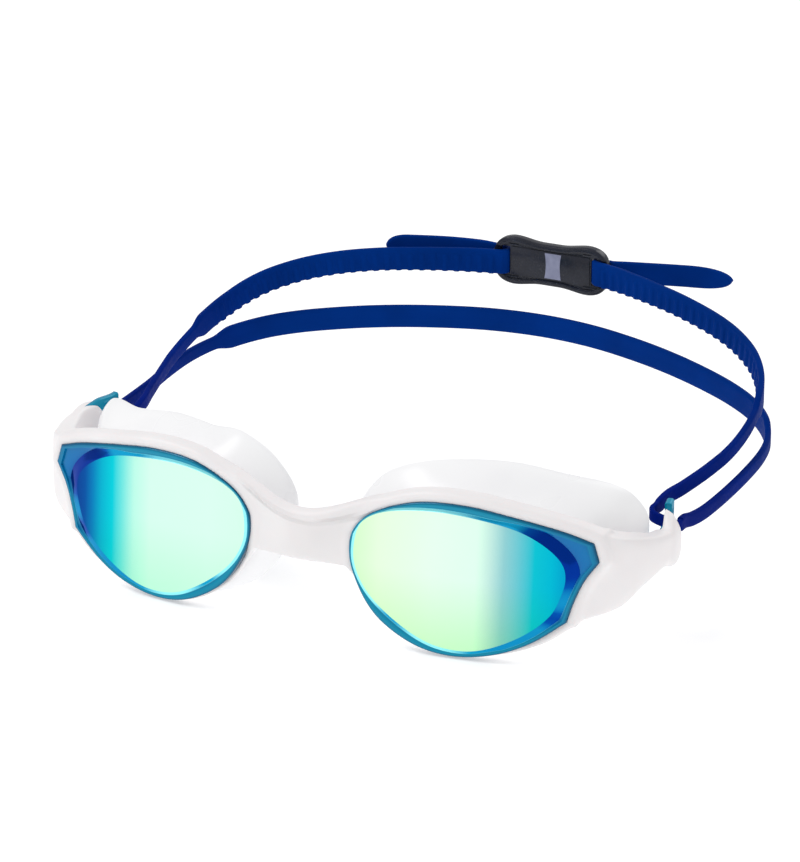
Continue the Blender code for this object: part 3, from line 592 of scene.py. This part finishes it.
def frosted_window():
    s = Shader("frosted_window", Specular_IOR_Level=0.4)
    s.colour(s.ramp(s.noise(500.0, 3.0), [(0.3, srgb(122, 126, 152)), (0.7, srgb(140, 144, 170))]))
    s.roughness(s.scaled(s.noise(900.0), 0.3, 0.7, 0.40, 0.55))
    s.bump(s.noise(3000.0, 2.0), 0.15, 0.0001)
    return s.material


def plain_floor():
    s = Shader("floor", Specular_IOR_Level=0.35, Roughness=0.16,
               Emission_Color=(1.0, 1.0, 1.0, 1.0), Emission_Strength=0.42)
    s.colour(s.ramp(s.noise(3.0, 2.0), [(0.3, srgb(232, 232, 232)), (0.7, srgb(236, 236, 236))]))
    return s.material


WHITE = soft_white()
SEAL = milky_seal()
TEAL = tinted_teal()
NAVY = navy_silicone()
SMOKE = smoke_plastic()
WINDOW = frosted_window()
# Painted reflections: each lens has its own stops across its face, set by place, so they stay put when
# the view moves.
MIRROR_RIGHT = mirror("mirror_right", [
    (13.0, (205, 255, 196)), (20.0, (222, 255, 216)), (34.0, (222, 255, 230)),
    (44.5, (216, 250, 230)), (47.5, (190, 228, 218)), (51.0, (140, 200, 204)),
    (55.0, (92, 192, 204)), (58.0, (10, 188, 204)), (62.0, (0, 180, 206)),
    (66.0, (0, 150, 196))], (230, 255, 218))
MIRROR_LEFT = mirror("mirror_left", [
    (-66.0, (0, 56, 140)), (-62.5, (0, 78, 156)), (-60.0, (0, 120, 180)),
    (-57.0, (0, 172, 200)), (-53.5, (0, 200, 212)), (-50.5, (110, 222, 216)),
    (-47.0, (180, 240, 222)), (-42.0, (206, 250, 228)), (-25.0, (210, 252, 230)),
    (-13.0, (206, 250, 226))], (235, 255, 240))

# ---- white front frame ---------------------------------------------------------------------------


def rim_shape():
    """White rim: wide and flush round the top and the temple, thin and set back elsewhere."""
    share = np.maximum(smooth(RIM_OUT[:, 1], -0.5, 0.5), smooth(RIM_OUT[:, 0], 0.2, 0.9))
    share = np.maximum(share, smooth(-RIM_OUT[:, 0], 0.75, 1.0) * smooth(RIM[:, 1], 16.0, 22.0))
    width = RIM_WIDTH_LOW + (RIM_WIDTH_HIGH - RIM_WIDTH_LOW) * share
    depth = RIM_DEPTH + TEMPLE_DEPTH * TEMPLE
    face = 2.3 - 2.1 * share
    return hoop([rim_ring(-RIM_TUCK, face + 0.55), rim_ring(0.15, face + 0.3),
                 rim_ring(width * 0.7, face + 0.1),
                 rim_ring(width, face + 0.6 + 0.4 * share), rim_ring(width, depth - 1.5),
                 rim_ring(width * 0.5, depth), rim_ring(-RIM_FLANGE, depth, FOOT, FOOT_OUT),
                 rim_ring(-RIM_FLANGE, CARRIER_DEPTH + 0.1),
                 rim_ring(-RIM_TUCK, CARRIER_DEPTH + 0.1)])


def bridge_shape():
    """Nose bridge from rim to rim, lower and rounded in the middle."""
    nasal = [i for i in range(len(RIM)) if RIM_OUT[i, 0] < -0.3 and RIM[i, 1] > BRIDGE_LOW]
    edge = even((RIM[nasal] + 0.9 * RIM_OUT[nasal])[::-1], 29)
    at = np.linspace(0.0, 7.0, len(edge))
    table = np.column_stack([[0.0, 0.07, 0.25, 0.45, 0.62, 0.78, 0.93, 1.0],
                             [1.2, 0.3, 0.0, 0.0, 0.0, 0.1, 1.0, 2.3],
                             [1.0, 0.2, 0.0, 0.0, 0.0, 0.0, 0.3, 1.2]])
    share, front_fall, back_fall = (np.interp(at, np.arange(8), column) for column in table.T)
    middle_z = BRIDGE_LOW + (BRIDGE_HIGH - BRIDGE_LOW) * share
    rim_y = front_y(edge[:, 0], edge[:, 1])
    sections = []
    for step in np.linspace(-1.0, 1.0, 61):
        reach = smooth(abs(step), 0.0, 1.0)
        z = middle_z + (edge[:, 1] - middle_z) * reach
        front = BRIDGE_FRONT + (rim_y + 0.6 - BRIDGE_FRONT) * reach + front_fall * (1 - reach)
        back = BRIDGE_BACK + (rim_y + RIM_DEPTH - 0.4 - BRIDGE_BACK) * reach
        back = back - back_fall * (1 - reach)
        sections.append(np.vstack([np.column_stack([edge[:, 0] * step, front, z]),
                                   np.column_stack([edge[:, 0] * step, back, z])[::-1]]))
    return loft(sections)


def arm_section(outer_x, outer_y, inner_x, inner_y, low, high, inner_low=None,
                inner_high=None, taper=0.0):
    """One upright section of an arm, with the points of its root in arm_shape()."""
    steps = ARM_POINTS
    inner_low = low if inner_low is None else inner_low
    inner_high = high if inner_high is None else inner_high
    heights = np.linspace(0.0, 1.0, steps)
    fall = 0.9 * np.abs(2 * heights - 1) ** 5
    narrow = fall + taper * smooth(heights, 0.55, 1.0)
    outer = np.column_stack([np.full(steps, outer_x) - narrow, np.full(steps, outer_y),
                             low + (high - low) * heights])
    inner = np.column_stack([np.full(steps, inner_x) + 0.4 * fall, np.full(steps, inner_y),
                             inner_low + (inner_high - inner_low) * heights])
    return np.vstack([outer, inner[::-1]])


def arm_shape(side):
    temple = [i for i in range(len(RIM)) if RIM[i, 0] > 65.5 and RIM_OUT[i, 0] > 0.3]
    edge = (RIM[temple] + 0.9 * RIM_OUT[temple])[np.argsort(RIM[temple, 1])]
    edge = even(edge, ARM_POINTS)
    y = front_y(edge[:, 0], edge[:, 1])
    outer = np.column_stack([edge[:, 0], y + 0.7, edge[:, 1]])
    inner = np.column_stack([edge[:, 0], y + RIM_DEPTH + TEMPLE_DEPTH - 0.5, edge[:, 1]])
    root = np.vstack([outer, inner[::-1]])
    return loft(list(spline([root] + [arm_section(*station) for station in ARM[side]], 6)))


def tail_shape(side):
    return loft(list(spline([arm_section(*station) for station in ARM_TAIL[side]], 6)))


def make_frame():
    """The rims, arms and bridge, melted into one soft moulding."""
    right = [rim_shape(), arm_shape("right"), tail_shape("right")]
    left = [rim_shape(), arm_shape("left"), tail_shape("left")]
    shapes = right + [(flip(points), faces) for points, faces in left] + [bridge_shape()]
    shapes = [(nose_shift(points), faces) for points, faces in shapes]
    obj = mesh_object("white_frame", shapes)
    remesh = obj.modifiers.new("remesh", "REMESH")
    remesh.mode = "VOXEL"
    remesh.voxel_size = 0.00042
    relax = obj.modifiers.new("relax", "SMOOTH")
    relax.factor = 0.5
    relax.iterations = 9
    thin = obj.modifiers.new("thin", "DECIMATE")
    thin.ratio = 0.45
    apply_modifiers(obj)
    obj.data.materials.clear()
    obj.data.materials.append(WHITE)
    shade(obj, 60.0)
    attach(obj, "front")
    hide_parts("frame")


# ---- seals ------------------------------------------------------------------------------------------


def seal_shape():
    """Cup that bulges from the back of the rim out to the face edge, with a lip turned in."""
    face = at_angles(SEAL_EDGE, RIM_ANGLE)
    face[:, 2] = np.maximum(face[:, 2], FOOT_Z)
    depth = RIM_DEPTH + TEMPLE_DEPTH * TEMPLE - 0.6
    start_out = spread(rim_ring(SEAL_FOOT_OUT, depth, FOOT, FOOT_OUT), 5)
    start_in = spread(rim_ring(-SEAL_FOOT_IN, depth, FOOT, FOOT_OUT), 5)
    inward = start_in - start_out
    inward /= np.linalg.norm(inward, axis=1)[:, None]

    def between(share, bulge):
        side_bulge = bulge * (1.0 - 0.6 * TEMPLE_SOFT)
        ring = start_out + (face - start_out) * share - inward * side_bulge[:, None]
        ring[:, 2] = np.maximum(ring[:, 2], FOOT_Z)
        return ring

    shell = [start_out] + [between(share, bulge) for share, bulge in SEAL_BULGE]
    lip = shell[-1] + inward * SEAL_LIP + np.array([0.0, 0.5, 0.0])
    fold = lip + np.array([0.0, -SEAL_WALL, 0.0])
    inner = [fold, shell[2] + inward * SEAL_WALL * 1.6, shell[1] + inward * SEAL_WALL * 1.6,
             start_in]
    rings = spline(np.array(shell + [lip] + inner), 4, closed=True)
    rings[:, :, 2] = np.maximum(rings[:, :, 2], FOOT_Z)
    return hoop(list(rings))


# ---- lenses and their tinted carriers --------------------------------------------------------------

GAP_WIDTH = np.linalg.norm(RIM - LENS_RIM, axis=1)
WING = smooth(GAP_WIDTH, 2.4, 5.0)
TEMPLE_LIP = smooth(RIM_OUT[:, 0], -0.1, 0.35)
BEVEL = np.minimum(0.7 + 2.2 * smooth(LENS_RIM[:, 0], 46.0, 61.0), 0.55 * GAP_WIDTH)
BEVEL_DROP = 0.10 + 0.90 * WING


def across_ring(distance, back):
    """A ring that lies a given distance outside the mirrored face."""
    share = (np.broadcast_to(distance, len(RIM)) / GAP_WIDTH)[:, None]
    x_z = LENS_RIM + (RIM - LENS_RIM) * share
    x, z = x_z[:, 0], x_z[:, 1]
    return np.column_stack([x, front_y(x, z) + back, z])


def lens_shape():
    """Rings from the middle of the mirrored face out over its bevel, then the back."""
    rings, bevel, wing = [], [], []
    for scale in np.linspace(0.06, 1.0, 16):
        x_z = (LENS_RIM - EYE_CENTRE) * scale + EYE_CENTRE
        y = front_y(x_z[:, 0], x_z[:, 1]) - MIRROR_PROUD
        rings.append(np.column_stack([x_z[:, 0], y, x_z[:, 1]]))
        bevel.append(0.0)
    rings[-1][:, 1] += 0.03
    for share, fall in ((0.01, 0.05), (0.12, 0.10), (0.5, 0.45), (0.88, 0.9), (1.0, 1.0)):
        rings.append(across_ring(BEVEL * share, BEVEL_DROP * fall - 0.05))
        bevel.append(1.0)
    rings.append(across_ring(BEVEL, BEVEL_DROP + 0.8))
    bevel.append(1.0)
    for scale in (1.0, 0.5, 0.06):
        x_z = (LENS_RIM - EYE_CENTRE) * scale + EYE_CENTRE
        y = front_y(x_z[:, 0], x_z[:, 1]) + LENS_THICKNESS
        rings.append(np.column_stack([x_z[:, 0], y, x_z[:, 1]]))
        bevel.append(2.0)
    size = len(RIM)
    faces = grid_faces(len(rings), size)
    points = np.vstack(rings)
    poles = [[EYE_CENTRE[0], front_y(*EYE_CENTRE) + back, EYE_CENTRE[1]]
             for back in (-MIRROR_PROUD, LENS_THICKNESS)]
    for pole, ring in ((0, 0), (1, len(rings) - 1)):
        for j in range(size):
            faces.append((len(points) + pole, ring * size + j, ring * size + (j + 1) % size))
    return ((np.vstack([points, poles]), faces), np.r_[np.repeat(bevel, size), 0.0, 2.0],
            np.r_[np.tile(np.maximum(WING, 0.22 * TEMPLE_LIP), len(rings)), 0.0, 0.0])


def carrier_shape():
    """Tinted rim: rounded outer edge, flat band, small step, and a low facet at the wing."""
    band = np.minimum(CARRIER_BAND, 0.62 * (GAP_WIDTH - BEVEL))
    step = CARRIER_STEP + 0.45 * WING
    low = BEVEL_DROP + 0.02
    inner = GAP_WIDTH - band
    rings = [(rim_ring(0.02, CARRIER_DEPTH), 0.0), (rim_ring(0.02, 0.9), 0.0),
             (rim_ring(-0.02, 0.5), 0.08), (rim_ring(-0.12, 0.2), 0.18),
             (rim_ring(-0.32, 0.04), 0.3), (rim_ring(-0.55, 0.0), 0.42),
             (across_ring(inner + 0.1, 0.0), 0.55), (across_ring(inner, 0.03), 0.6),
             (across_ring(inner - 0.18, step), 0.62),
             (across_ring(BEVEL + 0.25 * (inner - BEVEL), 0.5 * (step + low)), 0.8),
             (across_ring(BEVEL - 0.05, low), 1.0),
             (across_ring(BEVEL - 0.3, low + 0.5), 1.0),
             (across_ring(BEVEL - 0.3, CARRIER_DEPTH), 1.0)]
    shape = hoop([ring for ring, _ in rings])
    size = len(RIM)
    return (shape, np.repeat([value for _, value in rings], size), np.tile(WING, len(rings)))


def plate_shape(side):
    """Upright plate that runs back inside the arm to the bar behind the strap slot."""
    path = even(spline(PLATE, 6), 90)
    y = path[:, 1]
    if side == "right":
        top = LOW_PLATE_TOP + BAR_RISE * smooth(y, *BAR_START)
        path[:, 3] = np.minimum(path[:, 3] - 0.8, top)
    else:
        path[:, 3] += 2.2 * smooth(y, 28.0, 35.0) - 1.3 * smooth(y, 38.0, 46.0)
    along = np.gradient(path[:, :2], axis=0)
    along /= np.linalg.norm(along, axis=1)[:, None]
    half, bevel = PLATE_THICKNESS / 2, PLATE_BEVEL
    sections = []
    for (x, y, low, high), (ax, ay) in zip(path, along):
        corners = [(half, low + bevel), (half, high - bevel), (half - bevel, high),
                   (bevel - half, high), (-half, high - bevel), (-half, low + bevel),
                   (bevel - half, low), (half - bevel, low)]
        sections.append([(x + ay * s, y - ax * s, z) for s, z in corners])
    return loft([np.array(section) for section in sections])


def block(name, low, high):
    corners = [(x, y, z) for x in (low[0], high[0]) for y in (low[1], high[1])
               for z in (low[2], high[2])]
    faces = [(0, 1, 3, 2), (4, 6, 7, 5), (0, 4, 5, 1), (2, 3, 7, 6), (0, 2, 6, 4), (1, 5, 7, 3)]
    return mesh_object(name, [(np.array(corners), faces)])


def settle(points, side):
    """The top of the left cup has settled lower, and its two sides further in."""
    moved = np.array(points, float)
    if side == "left":
        x, z = np.abs(moved[:, 0]), moved[:, 2]
        settled = smooth(x, 22.0, 35.0) * (1.0 - smooth(x, 58.0, 72.0))
        moved[:, 2] -= SEAL_SAG * settled * smooth(z, 28.0, 37.0)
        moved[:, 0] += SEAL_TUCK * smooth(x, 60.0, 68.0) * (1.0 - smooth(moved[:, 1], 17.0, 33.0))
        moved[:, 0] += SEAL_NOSE_TUCK * (1.0 - smooth(x, 10.0, 40.0))
    return moved


SIDES = (("right", np.asarray), ("left", flip))


def mirrored_pair(name, shape, material, node, attributes=(), angle=35.0):
    """The same piece on both sides. Each stands for the CAD node of its own side."""
    points, faces = shape
    for side, place in SIDES:
        chosen = material[side] if isinstance(material, dict) else material
        placed = settle(place(points), side) if node == "seal" else nose_shift(place(points))
        obj = mesh_object(f"{name}_{side}", [(placed, faces)], chosen, angle)
        for key, values in attributes:
            point_attribute(obj, key, values)
        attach(obj, "front")
        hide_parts(f"{node}_{side}")


def make_plates():
    """Each plate with the slot cut through it and its edges softened."""
    for side, sign in (("right", 1.0), ("left", -1.0)):
        points, faces = plate_shape(side)
        obj = mesh_object(f"ear_plate_{side}", [(points * (sign, 1.0, 1.0), faces)])
        ends = sorted((sign * 70.0, sign * 82.0))
        front, back = SLOT_Y[side]
        cut(obj, [block("slot", (ends[0], front, SLOT_Z[0]), (ends[1], back, SLOT_Z[1]))])
        obj.data.materials.clear()
        obj.data.materials.append(TEAL)
        soften = obj.modifiers.new("soften", "BEVEL")
        soften.width = 0.00018
        soften.segments = 2
        soften.limit_method = "ANGLE"
        soften.angle_limit = math.radians(50.0)
        apply_modifiers(obj)
        shade(obj, 50.0)
        point_attribute(obj, "across", np.full(len(obj.data.vertices), 0.5))
        point_attribute(obj, "wing", np.zeros(len(obj.data.vertices)))
        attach(obj, "front")


# ---- strap -----------------------------------------------------------------------------------------


def strap_shape(route, width, thick, ribs=None):
    """A strap that stands on edge. ribs says how proud the gripping ribs are at each station."""
    along = np.gradient(route, axis=0)
    along /= np.linalg.norm(along, axis=1)[:, None]
    up = np.array([0.0, 0.0, 1.0]) - along * along[:, 2:3]
    up /= np.linalg.norm(up, axis=1)[:, None]
    across = np.cross(along, up)
    ribs = np.zeros(len(route)) if ribs is None else ribs
    sections = []
    for p, u, a, w, t, rib in zip(route, up, across, width, thick, ribs):
        h, s = w / 2, t / 2
        r = min(0.45, 0.6 * s, 0.6 * h)
        c = 0.3 * r
        section = [(s, r - h), (s, -0.3 * h), (s, 0.3 * h), (s, h - r), (s - c, h - c),
                   (s - r, h), (r - s, h), (c - s, h - c), (-s, h - r), (-s, 0.56 * h),
                   (-s - 0.8 * rib, 0.46 * h), (-s - rib, 0.36 * h), (-s - rib, -0.2 * h),
                   (-s - rib, r - h), (c - s - rib, c - h - 0.2 * rib),
                   (r - s, -h - 0.35 * rib), (s - r, -h), (s - c, c - h)]
        sections.append(p + np.array([a * x + u * y for x, y in section]))
    return loft(sections)


def make_upper(side, place):
    """Ear loop, neck and ribbed band up to the turn in the buckle."""
    curve = spline(LOOP + UPPER + TURN[:3], 12)
    curve[:, 2] += BUCKLE_LEAN[side] * smooth(curve[:, 1], 128.0, 145.0)
    curve[:, 1] -= LOOP_FORWARD[side] * (1.0 - smooth(curve[:, 1], 42.6, 45.0))
    inward = np.interp(curve[:, 1], UPPER_INWARD_Y, UPPER_INWARD[side])
    loop = np.where(curve[:, 1] < 45.5, 1.0 - smooth(curve[:, 0], 73.5, 78.8), 1.0)
    curve[:, 0] -= inward * loop
    length = np.r_[0.0, np.cumsum(np.linalg.norm(np.diff(curve, axis=0), axis=1))]
    route = even(curve, int(length[-1] / 0.31))
    y = route[:, 1]
    shoulder = SHOULDER_Y[side]
    band = smooth(y, shoulder, shoulder + SHOULDER_LENGTH)
    width = NECK_WIDTH + (BAND_WIDTH - NECK_WIDTH) * band
    width += BUCKLE_WIDENING * smooth(y, 136.0, 146.0)
    travelled = np.linspace(0.0, length[-1], len(route))
    wave = 0.5 + 0.5 * np.cos(2 * math.pi * travelled / RIB_PITCH)
    ribs = RIB_PROUD * smooth(wave, 0.35, 0.75) * smooth(y, *RIBS_START)
    ribs *= 1.0 - smooth(y, *RIBS_END)
    bend = 1.0 - smooth(y, 45.0, 48.0)
    width -= EAR_NARROWING * bend
    thick = STRAP_THICK - EAR_THINNING * bend
    points, faces = strap_shape(route, width, thick, ribs)
    obj = mesh_object(f"upper_strap_{side}", [(place(points), faces)], NAVY, 50.0)
    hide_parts(f"strap_upper_{side}", f"strap_ear_loop_{side}")
    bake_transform(obj)


def make_lower():
    """Smooth band from ear to ear."""
    half = np.array(LOWER)
    whole = spline(np.vstack([half, flip(half[-2::-1])]), 12)
    inward = np.where(whole[:, 0] > 0.0, LOWER_INWARD["right"], -LOWER_INWARD["left"])
    middle = smooth(whole[:, 1], 50.0, 75.0) * (1.0 - smooth(whole[:, 1], 105.0, 130.0))
    whole[:, 0] -= inward * middle
    length = np.linalg.norm(np.diff(whole, axis=0), axis=1).sum()
    route = even(whole, int(length / 0.9))
    y = route[:, 1]
    width = NECK_WIDTH + (BAND_WIDTH - NECK_WIDTH) * smooth(y, *LOWER_SHOULDER)
    points, faces = strap_shape(route, width, np.full(len(route), STRAP_THICK))
    obj = mesh_object("lower_strap", [(points, faces)], NAVY, 50.0)
    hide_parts("strap_lower")
    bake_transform(obj)


def make_tail(side, place, points):
    """Free end of the strap, from the turn in the buckle to its rounded tip."""
    curve = spline(TURN[1:4] + [(15.4, 150.5, points[0][2])] + points, 12)
    length = np.linalg.norm(np.diff(curve, axis=0), axis=1).sum()
    route = even(curve, int(length / 0.5))
    left = length - np.linspace(0.0, length, len(route))
    share = np.clip(left / TAIL_TIP[side], 0.0, 1.0)
    width = TAIL_WIDTH * np.maximum((1.0 - (1.0 - share) ** 2.6) ** (1 / 2.0), 0.05)
    thick = np.full(len(route), STRAP_THICK - 0.1)
    thick[:10] -= 0.1
    shape_points, faces = strap_shape(route, width, thick)
    obj = mesh_object(f"strap_end_{side}", [(place(shape_points), faces)], NAVY, 50.0)
    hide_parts(f"strap_tail_{side}")
    ends = place(np.array([(15.0, 149.5, 48.0), (19.0, 151.5, 48.0)]))
    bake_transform(obj)


# ---- buckle ----------------------------------------------------------------------------------------


def buckle_outline(grow):
    """Rounded oblong with a waist, grown all round."""
    reach = BUCKLE_LENGTH / 2 + grow
    top = []
    for turn in np.linspace(0.0, math.pi, 61):
        x = reach * math.cos(turn)
        body = BUCKLE_WAIST_HEIGHT + (BUCKLE_END_HEIGHT - BUCKLE_WAIST_HEIGHT) * smooth(
            abs(x), 2.5, 11.5)
        corner = (1.0 - min(abs(x / reach), 1.0) ** 7) ** 0.45
        top.append((x, (body / 2 + grow) * max(corner, 0.35)))
    return top + [(x, -z) for x, z in top[::-1]]


def buckle_prism(name, levels):
    """A prism with the buckle's outline, from (depth, growth of the outline) pairs."""
    cx, cy, cz = BUCKLE_CENTRE
    sections = [np.array([(cx + x, cy + y, cz + z) for x, z in buckle_outline(grow)])
                for y, grow in levels]
    return mesh_object(name, [loft(sections)])


def buckle_block(name, low, high):
    """A block placed from the middle of the buckle."""
    return block(name, np.array(low) + BUCKLE_CENTRE, np.array(high) + BUCKLE_CENTRE)


def make_buckle():
    """Body with two slots, a raised panel and ribs, and the frosted window in its middle."""
    half = BUCKLE_THICK / 2
    front_edge = [(depth - half, grow) for depth, grow in BUCKLE_EDGE]
    back_edge = [(half - depth, grow) for depth, grow in BUCKLE_EDGE[::-1]]
    body = buckle_prism("buckle_body", front_edge + back_edge)
    tools = [buckle_prism("recess", [(-half - 1.0, -1.35), (0.55 - half, -1.45)]),
             buckle_prism("back_recess", [(half - 0.4, -1.45), (half + 1.0, -1.35)])]
    tall = BUCKLE_SLOT_HEIGHT / 2
    for side in (-1.0, 1.0):
        near, far = sorted((side * BUCKLE_SLOT[0], side * BUCKLE_SLOT[1]))
        tools.append(buckle_block("slot", (near, -4.0, -tall), (far, 4.0, tall)))
        near, far = sorted((side * (BUCKLE_SLOT[1] - 0.5), side * 19.0))
        tools.append(buckle_block("relief", (near, -4.0, -tall), (far, BUCKLE_RELIEF - half, tall)))
        tools.append(buckle_block("relief", (near, half - BUCKLE_RELIEF, -tall), (far, 4.0, tall)))
    cut(body, tools)
    raised = [buckle_block("panel", (-BUCKLE_PANEL, -half + 0.28, -tall - 0.2),
                           (BUCKLE_PANEL, half - 0.2, tall + 0.2))]
    for side in (-1.0, 1.0):
        for top in (-1.0, 1.0):
            for inner, outer, height in BUCKLE_RIBS:
                near, far = sorted((side * inner, side * outer))
                middle = top * height
                raised.append(buckle_block("rib", (near, -half + 0.2, middle - 0.2),
                                           (far, 0.0, middle + 0.2)))
    cut(body, raised, "UNION")
    soften = body.modifiers.new("soften", "BEVEL")
    soften.width = 0.00012
    soften.segments = 2
    soften.limit_method = "ANGLE"
    soften.angle_limit = math.radians(40.0)
    apply_modifiers(body)
    body.data.materials.clear()
    body.data.materials.append(SMOKE)
    shade(body, 35.0)
    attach(body, "upper_band")
    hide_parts("buckle")
    sections = []
    for z in np.linspace(-WINDOW_HALF_HEIGHT, WINDOW_HALF_HEIGHT, 15):
        waist = 2.35 - 0.35 * (1.0 - (z / WINDOW_HALF_HEIGHT) ** 2)
        depth = half - 0.28
        corners = [(-waist, -depth - 0.14), (waist, -depth - 0.14), (waist, depth), (-waist, depth)]
        sections.append(np.array([(x + WINDOW_SHIFT, y, z) for x, y in corners]) + BUCKLE_CENTRE)
    window = mesh_object("buckle_window", [loft(sections)], WINDOW, 40.0)
    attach(window, "upper_band")


# ---- build -----------------------------------------------------------------------------------------

make_frame()
mirrored_pair("seal_cup", seal_shape(), SEAL, "seal", angle=80.0)
shape, bevel, wing_share = lens_shape()
mirrored_pair("mirror_lens", shape, {"right": MIRROR_RIGHT, "left": MIRROR_LEFT}, "lens",
              attributes=(("bevel", bevel), ("wing", wing_share)))
shape, across, wing_share = carrier_shape()
mirrored_pair("tinted_rim", shape, TEAL, "lens_carrier",
              attributes=(("across", across), ("wing", wing_share)))
make_plates()
for side, place in SIDES:
    make_upper(side, place)
make_lower()
make_tail("right", np.asarray, TAIL_RIGHT)
make_tail("left", flip, TAIL_LEFT)
make_buckle()

# ---- floor and light ---------------------------------------------------------------------------------

FLOOR_REACH = 3000.0
WORLD_LIGHT = 0.62
LIGHTS = [("key", (-0.75, -0.45, 1.25), 0.7, 7.6), ("fill", (1.05, -0.30, 0.55), 0.8, 1.2),
          ("back", (0.35, 1.3, 0.9), 0.8, 3.0)]     # place, size and watts

floor_corners = [(x * FLOOR_REACH, y * FLOOR_REACH, FLOOR_Z)
                 for x, y in ((-1.0, -1.0), (1.0, -1.0), (1.0, 1.0), (-1.0, 1.0))]
floor = mesh_object("floor", [(np.array(floor_corners), [(0, 1, 2, 3)])], plain_floor())

world_light = bpy.data.worlds.new("studio")
bpy.context.scene.world = world_light
world_light.use_nodes = True
background = world_light.node_tree.nodes["Background"]
background.inputs["Color"].default_value = (1.0, 1.0, 1.0, 1.0)
background.inputs["Strength"].default_value = WORLD_LIGHT


def area_light(name, place, size, watts):
    """A soft square light that shines at the middle of the frame's floor."""
    light = bpy.data.lights.new(name, "AREA")
    light.size = size
    light.energy = watts
    obj = bpy.data.objects.new(name, light)
    obj.location = place
    x, y, z = place
    obj.rotation_euler = (math.atan2(math.hypot(x, y), z), 0.0, math.atan2(x, -y))
    bpy.context.scene.collection.objects.link(obj)


for name, place, size, watts in LIGHTS:
    area_light(name, place, size, watts)

bpy.context.scene.view_settings.view_transform = "Standard"
